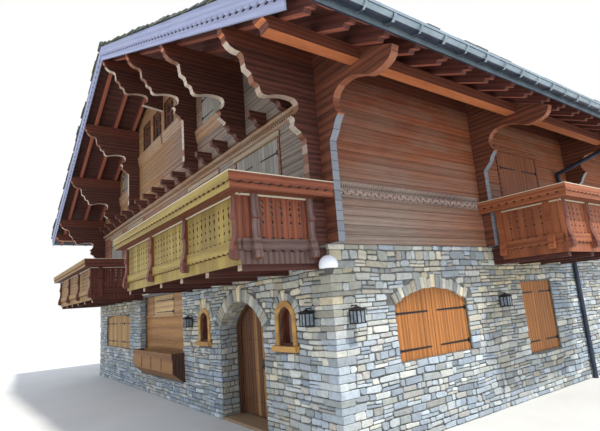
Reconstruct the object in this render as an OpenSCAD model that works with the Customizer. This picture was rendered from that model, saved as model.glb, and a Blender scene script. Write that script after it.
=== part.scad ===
// Alpine chalet: stone ground storey, log and board storey above, carved consoles and a slate roof.
// +X right along the entrance gable, +Y into the house, +Z up, origin on the ground under the middle.
// Lengths in mm, angles in degrees.

/* [House] */
// Width across the entrance gable
house_w = 15000; // [12000:10:18000]
// Depth from gable to gable
house_d = 12500; // [9000:10:16000]
// Height of the stone storey
stone_h = 3050; // [2700:10:3600]
// Thickness of the stone walls
stone_t = 520; // [350:5:700]
// Thickness of the timber walls
timber_t = 250; // [160:5:350]
// Setback of the timber gables behind the stone gables' face
gable_in = 110; // [40:5:200]
// Thickness of the carved logs
log_t = 130; // [90:5:200]
// Height of the timber storey, up to the attic floor's underside
storey_h = 2510; // [2300:10:2900]
// Thickness of the upper floors
floor_t = 220; // [120:5:320]
// Bays between the purlins across the gable
bays = 6; // [4:2:8]
// Bays between the eave consoles along the side
side_bays = 3; // [2:1:5]

/* [Roof] */
// Pitch of the roof
roof_pitch = 24.13; // [18:0.01:32]
// Height of the rafters' underside above the attic floor's, at the side walls' outer faces
knee_h = 640; // [400:10:900]
// Overhang beyond each gable
gable_over = 1620; // [1200:10:2000]
// Overhang beyond each side wall
eave_over = 1780; // [1650:10:2200]
// Height of a rafter, measured upright
rafter_h = 250; // [140:5:320]
// Width of a rafter
rafter_w = 110; // [60:5:160]
// Spaces between the rafters inside the gables
rafter_bays = 21; // [14:1:28]
// Distance of the first outside rafter's middle from the stone gable's face
rafter_off = 90; // [60:5:140]
// Thickness of the roof boards with their battens, measured upright
board_t = 95; // [20:1:120]
// Thickness of the slate covering, measured upright
slate_t = 90; // [60:5:220]
// Height of a purlin
purlin_h = 255; // [220:5:400]
// How far the purlins' ends are cut back at the foot
nose_cut = 60; // [30:5:120]
// Height of the barge boards, measured upright
barge_h = 420; // [250:5:550]
// Height of the upper barge board that lies over the lower one
barge_upper = 230; // [120:5:300]
// Thickness of one barge board
barge_t = 28; // [18:1:50]
// How far the slates reach over the barge boards
slate_over = 40; // [10:5:80]
// Radius of the half-round gutters
gutter_r = 105; // [60:1:140]
// Drop of the gutters' middle below the roof boards' lower edge
gutter_drop = 30; // [0:5:80]
// Radius of the downpipes
pipe_r = 50; // [30:1:70]
// Distance of the downpipes from the console behind them
pipe_gap = 600; // [200:10:900]

/* [Carved consoles] */
// Reach of the gable consoles beyond the stone gable
console_out = 1500; // [900:10:1600]
// Depth of their carving below the purlins
console_d = 1190; // [900:10:1300]
// How far the stacked logs stand out from the stone gables
stack_out = 250; // [150:5:450]
// How far the stacked logs stand out from the side walls
side_stack_out = 200; // [120:5:240]
// Reach of the eave consoles beyond the side wall
eave_console_out = 1660; // [1200:10:1700]
// Depth of their carving below the eave purlin
eave_console_d = 880; // [600:10:1000]
// Height of the eave purlin at its inner face
eave_purlin_h = 275; // [220:5:400]
// Distance of the eave purlin's inner face from the side wall
eave_purlin_x = 860; // [600:10:1000]
// Width of the eave purlin
eave_purlin_w = 200; // [120:5:260]
// Height of the carved joist ends
joist_end_h = 270; // [180:5:320]
// Reach of the joist ends beyond the stone gable
joist_end_out = 270; // [150:5:350]
// Joists to a bay of the gable
joists_in_bay = 3; // [2:1:4]

/* [Mouldings] */
// Height of the notched cornice under the joist ends
cornice_h = 70; // [40:5:110]
// Height of the plain band under it
band_h = 100; // [60:5:130]
// Height of the grooved mouldings on the gable
panel_h = 320; // [200:5:360]
// Height of the carved band on the right wall, to its top, above the stone storey
frieze_up = 1000; // [800:10:1300]
// Height of the carved band
frieze_h = 250; // [150:5:320]

/* [Balconies] */
// Reach of the balconies beyond the walls
balcony_out = 1740; // [1300:10:2000]
// Height of the rails' top above the stone storey
rail_up = 900; // [800:5:1100]
// Drop of the balcony floors below the stone storey's top
floor_drop = 50; // [20:5:150]
// Thickness of the balcony boards
balcony_t = 60; // [30:1:90]
// Height of the joists under a balcony floor
joist_h = 260; // [150:5:320]
// Width of those joists
joist_w = 120; // [80:5:160]
// Reach of the gable balconies beyond the side walls
corner_out = 250; // [200:5:450]
// Length of the near balcony
near_balcony_w = 5900; // [5600:10:6800]
// Length of the far balcony
far_balcony_w = 6250; // [4000:10:7000]
// Distance of the side balcony's start before the first inner console
side_lead = 130; // [125:5:300]
// Distance of the side balcony's end before the second inner console
side_tail = 780; // [700:10:1500]
// Height of the rail beam
fascia_h = 235; // [180:5:280]
// Height of the upper board on it
cap_h = 150; // [90:5:170]
// Thickness of the rail beam with its upper board
fascia_t = 100; // [70:5:120]
// Thickness of the pierced boards
panel_t = 35; // [20:1:50]
// Setback of the pierced boards behind the rail beam's face
panel_in = 250; // [150:5:270]
// Width of a pierced board
board_w = 155; // [110:5:200]
// Height of the plank under the pierced boards
plank_h = 170; // [120:5:220]
// Width of a carved post
post_w = 115; // [80:5:150]
// Posts between the corners of a long rail
mid_posts = 2; // [1:1:6]

/* [Entrance] */
// Middle of the doorway, measured from the near corner
door_x = 2920; // [2700:10:3200]
// Width of the doorway
door_w = 1770; // [1500:10:1950]
// Height where the doorway's arch springs
door_spring = 1850; // [1600:10:2200]
// Height of the arch above its springing
door_rise = 500; // [250:5:800]
// Thickness of the door leaves
leaf_t = 60; // [40:1:90]
// Gap between a door leaf and what it passes
leaf_gap = 10; // [5:0.5:15]
// Height of the doorstep
step_z = 60; // [20:5:150]
// Width of the door frame
frame_w = 60; // [30:1:110]
// Height of a hinge knuckle
knuckle_h = 90; // [60:5:140]

/* [Windows and shutters] */
// Width of a small arched window's opening
slit_w = 420; // [300:5:520]
// Height of the small arched windows' opening
slit_h = 640; // [400:5:1000]
// Height of their sills
slit_z = 1535; // [1000:5:1800]
// Middle of the right small window, measured from the near corner
slit_right = 1275; // [1000:5:1500]
// Middle of the left small window, measured from the near corner
slit_left = 4605; // [4400:5:5000]
// Width of the arched surrounds
surround = 100; // [50:5:160]
// How far the surrounds stand out
surround_t = 40; // [20:1:60]
// Width of the wide shuttered front window
front_win_w = 3200; // [2400:10:3400]
// Its middle, measured from the near corner
front_win_x = 12300; // [12000:10:12500]
// Height of it to the springing of its arch
front_win_h = 1000; // [600:5:1150]
// Rise of its arch
front_rise = 100; // [60:5:350]
// Sill height of the wide shuttered windows
wide_z = 1170; // [900:5:1400]
// Height of the right wall's one to the springing of its arch
wide_h = 910; // [600:5:1100]
// Rise of its arch
wide_rise = 245; // [120:5:350]
// Width of the arched window of the right wall
side_win_w = 1910; // [1400:10:2300]
// Its middle, measured from the entrance gable
side_win_y = 2225; // [1900:5:2600]
// Width of the square shuttered window of the right wall
side_square_w = 1270; // [900:10:1500]
// Its middle, measured from the entrance gable
side_square_y = 5785; // [5300:5:6200]
// Its sill height
side_square_z = 840; // [500:5:1100]
// Its height
side_square_h = 1470; // [1000:10:1700]
// Width of the window bay
bay_win_w = 3580; // [3000:10:3800]
// Its middle, measured from the near corner
bay_win_x = 7720; // [7500:10:8000]
// Height of its sill
bay_win_z = 600; // [500:10:900]
// Height of its top
bay_win_top = 2740; // [2500:10:2900]
// Setback of its boards
bay_in = 200; // [100:5:260]
// Thickness of its boards
bay_t = 60; // [30:1:90]
// Height of the boards under its shutters
bay_low = 1530; // [1300:10:1700]
// Width of the upper doors
upper_w = 1600; // [1200:10:1800]
// Middle of the first upper door, measured from the corner
upper_x1 = 2120; // [2000:10:2300]
// Middle of the second upper door, measured from the corner
upper_x2 = 4650; // [4300:10:5000]
// Width and height of the plain windows of the hidden sides
plain_w = 1200; // [800:10:1500]
plain_h = 1300; // [900:10:1600]
// Height of their sills above a storey's floor
plain_up = 900; // [700:10:1100]
// Width of an attic window
light_w = 800; // [500:10:900]
// Height of an attic window
light_h = 850; // [500:10:900]
// Sill height of the attic windows above the attic floor's underside
light_up = 2040; // [1900:10:2200]
// Middle of the inner attic windows, measured from the ridge
light_in = 525; // [480:5:560]
// Middle of the outer attic windows, measured from the ridge
light_out = 1560; // [1400:5:1700]
// Width of the attic shutters' opening
hatch_w = 1600; // [1000:10:1800]
// Its height
hatch_h = 730; // [500:10:800]
// Its sill height above the attic floor's underside
hatch_up = 1160; // [1120:10:1300]
// Thickness of a shutter
shutter_t = 45; // [25:1:70]
// Gap between shutter leaves
shutter_gap = 6; // [2:0.5:12]
// Setback of the shutters in the stone walls
shutter_in = 30; // [10:5:90]
// Width of a window frame
sash_w = 70; // [40:5:110]
// Thickness of a window frame
sash_t = 60; // [30:5:90]
// Setback of the window frames
sash_in = 60; // [20:5:120]
// Depth of the small arched windows' frames behind the wall's face
slit_in = 20; // [10:5:120]
// Thickness of the glass
glass_t = 24; // [6:1:40]
// Height of the board over an upper door
header_h = 110; // [60:5:150]
// Clearance between that board and the band above it
header_gap = 45; // [10:5:120]
// Width of the boards beside an upper door
jamb_w = 70; // [40:5:120]

/* [Planter and lamps] */
// Width of the planter
planter_w = 3300; // [2400:10:3500]
// Its middle, measured from the near corner
planter_x = 7500; // [7300:10:7700]
// Reach of the planter from the wall
planter_out = 330; // [200:5:450]
// Height of its top
planter_z = 1240; // [1000:5:1400]
// Height of its front
planter_h = 500; // [300:5:600]
// Radius of the white lamp's hood
globe_r = 140; // [90:5:160]
// Distance of its middle from both faces of the corner
globe_off = 165; // [150:5:220]
// Drop of the lamp's middle below the stone storey's top
globe_drop = 330; // [300:5:420]
// Radius of a lantern
lantern_r = 62; // [40:1:80]
// Height of a lantern's cage
lantern_h = 170; // [110:5:240]
// Reach of a lantern's arm
lantern_out = 130; // [100:5:200]
// Height of the lanterns' foot
lantern_z = 1860; // [1600:10:2100]
// Place of the right lantern of the gable, measured from the near corner
lantern_x1 = 520; // [450:5:650]
// Place of the left lantern of the gable, measured from the near corner
lantern_x2 = 5320; // [5200:5:5500]
// Places of the right wall's lanterns, measured from the entrance gable
lantern_y1 = 330; // [250:5:500]
lantern_y2 = 4300; // [4100:5:4600]

/* [Hidden] */
$fn = 32;
tiny = 0.3;                      // clearance of sloped faces that rest on each other
hw = house_w / 2;
hd = house_d / 2;
slope = tan(roof_pitch);
attic_z = stone_h + storey_h;
plate_z = attic_z + knee_h;
wall_y = -hd + gable_in;         // timber gable's face
inner_y = wall_y + timber_t;     // timber gable's inner face
bay_w = (house_w - log_t) / bays;
side_bay = (house_d - log_t) / side_bays;
rafter_step = (house_d + 2 * rafter_off) / rafter_bays;
roof_x = hw + eave_over;         // rafters' ends
roof_y = hd + gable_over;        // roof boards' ends
barge_y = roof_y + 2 * barge_t;  // upper barge board's face
slate_y = barge_y + slate_over;
roof_top = rafter_h + board_t;   // height of the slates' bed above the rafters' underside

function line_x(k) = hw - log_t / 2 - k * bay_w;
function line_y(j) = -hd + log_t / 2 + j * side_bay;
function roof_z(x) = plate_z + (hw - abs(x)) * slope;
function eave_line(x) = plate_z + (hw - x) * slope;
function purlin_z(k) = roof_z(abs(line_x(k)) + log_t / 2) - purlin_h;
function arch_r(w, rise) = (w * w / 4 + rise * rise) / (2 * rise);
eave_purlin_z = eave_line(hw + eave_purlin_x) - eave_purlin_h;

// Curve from a towards c and on to b, without its first point
function bend(a, c, b, n = 3) =
    [for (i = [1 : n]) let (t = i / n) a * (1 - t) * (1 - t) + c * 2 * t * (1 - t) + b * t * t];

// Lower edge of hanging lobes between two places, about one to a pitch
function lobes(x0, x1, z, dip, pitch) = let (n = max(1, round((x1 - x0) / pitch)))
    [for (i = [0 : 4 * n]) [x0 + (x1 - x0) * i / (4 * n), z + dip * (1 - abs(sin(i * 45)))]];

// Shapes used all over
module block(x0, x1, y0, y1, z0, z1)
    translate([x0, y0, z0]) cube([x1 - x0, y1 - y0, z1 - z0]);

// An opening with a segmental arch, cut along Y from y0 to y1
module arch_y(xc, w, z0, spring, rise, y0, y1) {
    r = arch_r(w, rise);
    block(xc - w / 2, xc + w / 2, y0, y1, z0, spring);
    intersection() {
        block(xc - w / 2, xc + w / 2, y0, y1, spring - 1, spring + rise + 1);
        translate([xc, y0, spring + rise - r]) rotate([-90, 0, 0]) cylinder(r = r, h = y1 - y0);
    }
}

// The same opening cut along X, middle at yc
module arch_x(yc, w, z0, spring, rise, x0, x1)
    rotate([0, 0, 90]) arch_y(yc, w, z0, spring, rise, -x1, -x0);

// Drawing across the house, in X and Z, pulled along Y
module across(y0, y1) translate([0, y1, 0]) rotate([90, 0, 0]) linear_extrude(y1 - y0) children();

// Drawing along the house, in Y and Z, pulled along X
module along(x0, x1) translate([x0, 0, 0]) rotate([90, 0, 90]) linear_extrude(x1 - x0) children();

module both_sides() { children(); mirror([1, 0, 0]) children(); }
module both_ends() { children(); mirror([0, 1, 0]) children(); }

// Places of doors and windows
niche_x = hw - door_x;
slit_xs = [hw - slit_right, hw - slit_left];
slit_spring = slit_z + slit_h - slit_w / 2;
slit_rise = slit_w / 2 - 5;
bay_x0 = hw - bay_win_x - bay_win_w / 2;
bay_x1 = bay_x0 + bay_win_w;
wide_spring = wide_z + wide_h;
front_spring = wide_z + front_win_h;
front_win = hw - front_win_x;
side_win = -hd + side_win_y;
side_square_0 = -hd + side_square_y - side_square_w / 2;
side_square_1 = side_square_0 + side_square_w;
side_square_top = side_square_z + side_square_h;
upper_doors = [for (s = [-1, 1]) for (d = [upper_x1, upper_x2]) s * (hw - d)];
upper_top = attic_z - cornice_h - band_h - 15 - header_gap - header_h;
side_x0 = line_y(1) - log_t / 2 - side_lead;
side_x1 = line_y(2) - log_t / 2 - side_tail;
side_upper = (side_x0 + side_x1) / 2 + side_lead;
plain_z = step_z + plain_up;
plain_up_z = stone_h + plain_up;
light_z = attic_z + light_up;
hatch_z = attic_z + hatch_up;
lights = [for (s = [-1, 1]) for (d = [light_in, light_out]) s * d];
hatches = [for (s = [-1, 1]) s * (line_x(1) - bay_w / 2)];

// Stone storey
module stone_front_cuts() {
    for (x = slit_xs) arch_y(x, slit_w, slit_z, slit_spring, slit_rise, -hd - 10, -hd + stone_t + 10);
    block(bay_x0, bay_x1, -hd - 10, -hd + stone_t + 10, bay_win_z, bay_win_top);
    arch_y(front_win, front_win_w, wide_z, front_spring, front_rise, -hd - 10, -hd + stone_t + 10);
}

module stone_front_right() color("SlateGray") difference() {
    block(niche_x + door_w / 2, hw, -hd, -hd + stone_t, 0, stone_h);
    stone_front_cuts();
}

module stone_over_door() color("SlateGray") difference() {
    block(niche_x - door_w / 2, niche_x + door_w / 2, -hd, -hd + stone_t, door_spring, stone_h);
    arch_y(niche_x, door_w, -10, door_spring, door_rise, -hd - 10, -hd + stone_t + 10);
}

module stone_front_left() color("SlateGray") difference() {
    block(-hw, niche_x - door_w / 2, -hd, -hd + stone_t, 0, stone_h);
    stone_front_cuts();
}

module plain_windows_y(y0, y1, z0, h)
    for (k = [1, 3, 5]) block(line_x(k) - plain_w / 2, line_x(k) + plain_w / 2, y0, y1, z0, z0 + h);

module plain_windows_x(x0, x1, z0, h)
    for (j = [0 : side_bays - 1])
        let (y = line_y(j) + side_bay / 2) block(x0, x1, y - plain_w / 2, y + plain_w / 2, z0, z0 + h);

module stone_right_wall() color("SlateGray") difference() {
    block(hw - stone_t, hw, -hd + stone_t, hd - stone_t, 0, stone_h);
    arch_x(side_win, side_win_w, wide_z, wide_spring, wide_rise, hw - stone_t - 10, hw + 10);
    block(hw - stone_t - 10, hw + 10, side_square_0, side_square_1, side_square_z, side_square_top);
}

module stone_left_wall() color("SlateGray") difference() {
    block(-hw, -hw + stone_t, -hd + stone_t, hd - stone_t, 0, stone_h);
    plain_windows_x(-hw - 10, -hw + stone_t + 10, plain_z, plain_h);
}

module stone_back_wall() color("SlateGray") difference() {
    block(-hw, hw, hd - stone_t, hd, 0, stone_h);
    plain_windows_y(hd - stone_t - 10, hd + 10, plain_z, plain_h);
}

// Floors
module ground_floor() color("Tan") {
    block(-hw + stone_t, hw - stone_t, -hd + stone_t, hd - stone_t, 0, step_z);
    block(niche_x - door_w / 2, niche_x + door_w / 2, -hd, -hd + stone_t, 0, step_z);
}

module first_floor() color("Tan")
    block(-hw + stone_t, hw - stone_t, -hd + stone_t, hd - stone_t, stone_h - floor_t, stone_h);

module attic_floor() color("Tan")
    block(-hw + timber_t, hw - timber_t, inner_y, -inner_y, attic_z, attic_z + floor_t);

// Timber storey
module timber_front_wall() color("Sienna") difference() {
    block(-hw, hw, wall_y, inner_y, stone_h, attic_z);
    for (x = upper_doors)
        block(x - upper_w / 2, x + upper_w / 2, wall_y - 10, inner_y + 10, stone_h, upper_top);
}

module timber_back_wall() color("Sienna") difference() {
    block(-hw, hw, -inner_y, -wall_y, stone_h, attic_z);
    plain_windows_y(-inner_y - 10, -wall_y + 10, plain_up_z, plain_h);
}

module side_wall_body() block(hw - timber_t, hw, inner_y, -inner_y, stone_h, purlin_z(0));

module timber_right_wall() color("Sienna") difference() {
    side_wall_body();
    block(hw - timber_t - 10, hw + 10, side_upper - upper_w / 2, side_upper + upper_w / 2, stone_h,
        upper_top);
}

module timber_left_wall() color("Sienna") difference() {
    mirror([1, 0, 0]) side_wall_body();
    plain_windows_x(-hw - 10, -hw + timber_t + 10, plain_up_z, plain_h);
}

// Cross-section of the purlin on line k, its top cut to the rafters and lowered by a clearance
module purlin_shape(k, clear) {
    x = line_x(k);
    a = x - log_t / 2;
    b = x + log_t / 2;
    za = roof_z(a) - clear;
    zb = roof_z(b) - clear;
    if (abs(x) < 1) polygon([[a, purlin_z(k)], [b, purlin_z(k)], [b, zb], [x, roof_z(x) - clear], [a, za]]);
    else polygon([[a, purlin_z(k)], [b, purlin_z(k)], [b, zb], [a, za]]);
}

module gable_wall() difference() {
    polygon([[-hw, attic_z], [hw, attic_z], [hw, plate_z + rafter_h - tiny], [0, roof_z(0) + rafter_h - tiny],
        [-hw, plate_z + rafter_h - tiny]]);
    for (k = [0 : bays]) purlin_shape(k, 0);
    for (x = lights) translate([x - light_w / 2, light_z]) square([light_w, light_h]);
    for (x = hatches) translate([x - hatch_w / 2, hatch_z]) square([hatch_w, hatch_h]);
}

module gable_front() color("Peru") across(wall_y, inner_y) gable_wall();
module gable_back() color("Peru") across(-inner_y, -wall_y) gable_wall();

// Cornice and band under the joist ends, grooved mouldings of the inner bays
module cornice(x0, x1) {
    z = attic_z;
    along(x0, x1) polygon(concat([[wall_y, z], [wall_y - 90, z], [wall_y - 90, z - 25]],
        bend([wall_y - 90, z - 25], [wall_y - 85, z - cornice_h], [wall_y - 40, z - cornice_h]),
        [[wall_y - 25, z - cornice_h], [wall_y - 25, z - cornice_h - band_h],
        [wall_y, z - cornice_h - band_h - 15]]));
}

module grooved(x0, x1, z) {
    h = panel_h / 4;
    for (i = [0 : 3]) {
        y = wall_y - 20 - 12 * i;
        w = z + i * h;
        along(x0, x1) polygon(concat([[wall_y, w], [y, w]],
            bend([y, w], [y - 40, w + h / 2], [y - 5, w + 0.8 * h]), [[y - 5, w + h], [wall_y, w + h]]));
    }
}

// Carved band on the right wall between its first two consoles
module frieze() {
    z = stone_h + frieze_up;
    y0 = line_y(0) + log_t / 2 + 60;
    across(y0, side_x0 - 10) polygon(concat([[hw, z], [hw + 55, z], [hw + 55, z - 20]],
        bend([hw + 55, z - 20], [hw + 50, z - 45], [hw + 25, z - 50]),
        [[hw + 25, z - frieze_h + 20], [hw + 40, z - frieze_h + 20], [hw + 40, z - frieze_h],
        [hw, z - frieze_h]]));
}

module gable_mouldings() color("Sienna") {
    both_ends() {
        cornice(line_x(bays) + log_t / 2, line_x(0) - log_t / 2);
        both_sides() {
            grooved(line_x(2) + log_t / 2, line_x(1) - log_t / 2, hatch_z - 40 - panel_h);
            grooved(line_x(3) + log_t / 2, line_x(2) - log_t / 2, light_z - 80 - panel_h);
        }
    }
    frieze();
}

// Row of carved joist ends at the attic floor
module joist_end_shape() {
    y = -hd - joist_end_out;
    z = attic_z;
    h = joist_end_h;
    a = [-hd - 30, z];
    b = [-hd - 130, z + 0.33 * h];
    c = [y + 20, z + 0.55 * h];
    polygon(concat([[wall_y, z], a], bend(a, [-hd - 110, z], b), bend(b, [-hd - 150, z + 0.52 * h], c),
        [[y, z + 0.62 * h], [y, z + h], [wall_y, z + h]]));
}

module joist_ends() color("SaddleBrown") both_ends()
    for (i = [1 : bays * joists_in_bay - 1]) {
        x = line_x(0) - i * bay_w / joists_in_bay;
        along(x - log_t / 2, x + log_t / 2) joist_end_shape();
    }

// Gable console: outline in shares of its reach and depth, carved as a nose, small steps, a belly and a hook
function console_curve() =
    let (a = [1.03, 0], b = [0.88, 0.09], c = [0.845, 0.22], d = [0.8, 0.315], e = [0.765, 0.4],
        f = [0.715, 0.45], g = [0.69, 0.51], h = [0.6, 0.58], i = [0.33, 0.53], j = [0.237, 0.62],
        k = [0.34, 0.79], l = [0.295, 0.84], m = [0.265, 0.96], n = [0.213, 1.03])
    concat([a], bend(a, [0.99, 0.09], b), bend(b, [0.845, 0.1], c, 2), bend(c, [0.85, 0.31], d, 2),
        bend(d, [0.77, 0.32], e, 2), bend(e, [0.77, 0.45], f, 2), bend(f, [0.69, 0.46], g, 2),
        bend(g, [0.685, 0.6], h), bend(h, [0.45, 0.51], i), bend(i, [0.24, 0.53], j),
        bend(j, [0.235, 0.74], k), bend(k, [0.3, 0.79], l, 2), bend(l, [0.35, 0.93], m, 2),
        bend(m, [0.22, 0.97], n, 2));

module console_profile(z, foot) {
    tip = -hd - stack_out;
    carved = [for (p = console_curve()) if (z - p[1] * console_d > foot + 30)
        [-hd - p[0] * console_out, z - p[1] * console_d]];
    tall = foot < z - 1.12 * console_d;
    below = tall ? [[tip, z - 1.06 * console_d], [tip, foot]] : [[-hd - 0.24 * console_out, foot]];
    polygon(concat([[wall_y, z]], carved, below, [[wall_y, foot]]));
}

// The ridge console ends with its hook
module ridge_console() {
    z = purlin_z(bays / 2);
    keep = [for (p = console_curve()) if (p[1] < 0.83) [-hd - p[0] * console_out, z - p[1] * console_d]];
    polygon(concat([[wall_y, z]], keep, [[wall_y, z - 0.86 * console_d]]));
}

module gable_consoles() for (k = [0 : bays])
    along(line_x(k) - log_t / 2, line_x(k) + log_t / 2) {
        if (k == bays / 2) ridge_console();
        else console_profile(purlin_z(k), (k == 0 || k == bays) ? stone_h : attic_z + joist_end_h);
    }

module front_consoles() color("Sienna") gable_consoles();
module back_consoles() color("Sienna") mirror([0, 1, 0]) gable_consoles();

// Eave console: outline in shares of its reach and depth below the eave purlin, its tip 30 mm high
function eave_curve() =
    let (a = [0.997, (eave_purlin_z - eave_line(hw + eave_console_out) + 30) / eave_console_d],
        b = [0.805, 0.352], c = [0.71, 0.335], d = [0.44, 0.159], e = [0.245, 0.39],
        f = [0.301, 0.66], g = [0.211, 0.91])
    concat([a], bend(a, [0.985, 0.345], b, 4), bend(b, [0.755, 0.36], c, 2), bend(c, [0.56, 0.165], d),
        bend(d, [0.27, 0.165], e), bend(e, [0.24, 0.56], f), bend(f, [0.24, 0.75], g));

module eave_console_profile(stack) {
    o = eave_console_out;
    polygon(concat([[hw, plate_z - tiny], [hw + o, plate_z - o * slope - tiny]],
        [for (p = eave_curve()) [hw + p[0] * o, eave_purlin_z - p[1] * eave_console_d]],
        [[hw + stack, eave_purlin_z - eave_console_d - 60], [hw + stack, stone_h], [hw, stone_h]]));
}

module eave_consoles() difference() {
    for (j = [0 : side_bays]) across(line_y(j) - log_t / 2, line_y(j) + log_t / 2)
        eave_console_profile(j == 0 || j == side_bays ? corner_out : side_stack_out);
    eave_purlin(0, 10);
}

module eave_purlin(clear, more) {
    a = hw + eave_purlin_x;
    b = a + eave_purlin_w;
    across(-roof_y - more, roof_y + more)
        polygon([[a, eave_purlin_z], [b, eave_purlin_z], [b, eave_line(b) - clear + more],
            [a, eave_line(a) - clear + more]]);
}

module eave_consoles_right() color("Sienna") eave_consoles();
module eave_consoles_left() color("Sienna") mirror([1, 0, 0]) eave_consoles();

// What is carved off a purlin's two ends, between x0 and x1 and from its foot z
module noses(x0, x1, z, h, cut) {
    a = [-roof_y + cut, z - 1];
    b = [-roof_y + 0.45 * cut, z + 0.4 * h];
    both_ends() along(x0, x1) polygon(concat([[-roof_y - 1, z - 1], a],
        bend(a, [-roof_y + cut, z + 0.35 * h], b),
        bend(b, [-roof_y, z + 0.45 * h], [-roof_y - 1, z + 0.7 * h])));
}

// Purlins run from barge to barge
module purlins() color("Sienna") {
    for (k = [0 : bays]) difference() {
        across(-roof_y, roof_y) purlin_shape(k, tiny);
        noses(line_x(k) - log_t, line_x(k) + log_t, purlin_z(k), purlin_h, nose_cut);
    }
    both_sides() difference() {
        eave_purlin(tiny, 0);
        noses(hw + eave_purlin_x - 10, hw + eave_purlin_x + eave_purlin_w + 10, eave_purlin_z, eave_purlin_h,
            nose_cut + 50);
    }
}

// Rafters of one slope with stepped tails, joined by the boards that close them over the side wall
module rafter_shape(x0, x1) polygon([[x0, roof_z(x0)], [x1 - 230, eave_line(x1 - 230)],
    [x1 - 200, eave_line(x1 - 200) + 60], [x1 - 120, eave_line(x1 - 120) + 60],
    [x1 - 90, eave_line(x1 - 90) + 120],
    [x1, eave_line(x1) + 120], [x1, eave_line(x1) + rafter_h], [x0, roof_z(x0) + rafter_h]]);

module slope_rafters() {
    for (j = [-2 : rafter_bays + 2]) {
        y = -hd - rafter_off + j * rafter_step;
        across(y - rafter_w / 2, y + rafter_w / 2) rafter_shape(tiny, roof_x);
    }
    across(inner_y, -inner_y) polygon([[hw - 40, roof_z(hw - 40)], [hw, plate_z], [hw, plate_z + rafter_h],
        [hw - 40, roof_z(hw - 40) + rafter_h]]);
}

module rafters() color("Firebrick") both_sides() slope_rafters();

// A layer of the roof between two heights above the rafters' underside
module roof_layer(z0, z1, x1, y1) across(-y1, y1)
    polygon([[tiny, roof_z(tiny) + z0], [x1, eave_line(x1) + z0], [x1, eave_line(x1) + z1],
        [tiny, roof_z(tiny) + z1]]);

module roof_boards() color("IndianRed") both_sides()
    roof_layer(rafter_h + tiny, roof_top, roof_x + 30, roof_y);
module roof_slates() color("DarkSlateGray") both_sides()
    roof_layer(roof_top + tiny, roof_top + slate_t, roof_x + 70, slate_y);

module ridge_slates() color("DimGray") {
    z = roof_z(0) + roof_top + slate_t + tiny;
    across(-slate_y, slate_y) polygon([[0, z], [260, z - 260 * slope], [260, z - 260 * slope + 50],
        [0, z + 50], [-260, z - 260 * slope + 50], [-260, z - 260 * slope]]);
}

// Barge: a lower board across the ends of the purlins and an upper one over it
module barge_board(y0, y1, z0, z1) {
    x1 = roof_x - 180;
    both_sides() across(y0, y1) polygon([[tiny, roof_z(tiny) + z0], [x1, eave_line(x1) + z0],
        [x1, eave_line(x1) + z1], [tiny, roof_z(tiny) + z1]]);
}
module barge_boards() color("LightSteelBlue") both_ends() {
    barge_board(-roof_y - barge_t, -roof_y, roof_top - barge_h, roof_top);
    barge_board(-barge_y, -roof_y - barge_t, roof_top - barge_upper, roof_top);
}

// Gutters on a fascia board at the rafters' ends
gutter_x = roof_x + 30 + gutter_r;
gutter_z = eave_line(roof_x) + rafter_h - gutter_drop;
module gutter() {
    difference() {
        translate([gutter_x, roof_y, gutter_z]) rotate([90, 0, 0]) cylinder(r = gutter_r, h = 2 * roof_y);
        translate([gutter_x, roof_y - 4, gutter_z]) rotate([90, 0, 0])
            cylinder(r = gutter_r - 4, h = 2 * roof_y - 8);
        block(gutter_x - gutter_r - 1, gutter_x + gutter_r + 1, -roof_y - 1, roof_y + 1, gutter_z,
            gutter_z + gutter_r);
    }
    block(roof_x, roof_x + 30, -roof_y, roof_y, eave_line(roof_x) + 80, eave_line(roof_x + 30) + rafter_h);
}
module gutters() color("LightSlateGray") both_sides() gutter();

// Downpipes from the gutters back to the walls and down to the ground
pipe_y = line_y(2) - log_t / 2 - pipe_gap;
pipe_x = hw + pipe_r + 30;
pipe_knee = stone_h + 1900;
module downpipe() {
    top = gutter_z - gutter_r;
    elbow = top - 90;
    for (z = [0.3, 0.75, 1.48])
        block(hw, pipe_x - pipe_r + 5, pipe_y - 20, pipe_y + 20, z * stone_h, z * stone_h + 40);
    translate([pipe_x, pipe_y, 0]) cylinder(r = pipe_r, h = pipe_knee);
    translate([pipe_x, pipe_y, pipe_knee]) sphere(r = pipe_r + 5);
    translate([pipe_x, pipe_y, pipe_knee]) rotate([0, atan2(gutter_x - pipe_x, elbow - pipe_knee), 0])
        cylinder(r = pipe_r, h = norm([gutter_x - pipe_x, elbow - pipe_knee]));
    translate([gutter_x, pipe_y, elbow]) sphere(r = pipe_r + 5);
    translate([gutter_x, pipe_y, elbow]) cylinder(r = pipe_r, h = 90 - tiny);
}
module downpipes() color("DarkSlateGray") both_sides() downpipe();

// Balconies
rail_z = stone_h + rail_up;
floor_z = stone_h - floor_drop;
joist_z = floor_z - balcony_t - joist_h;
rail_t = panel_in + panel_t;     // rail beam's face to the pierced boards' inner face
low_z = joist_z + 80;            // lower edge of the boards
face = fascia_t - 80;            // upper board's thickness on the beam
member_h = 45;
plank_z = low_z + plank_h;
pierce_z = plank_z + plank_h + 20;
beam_z = rail_z - fascia_h;
panel_end = balcony_out - stack_out - 5; // where an end's boards stop, before the corner console
post_1 = 480;                    // end posts, measured from the corner
post_2 = 1420;

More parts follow.
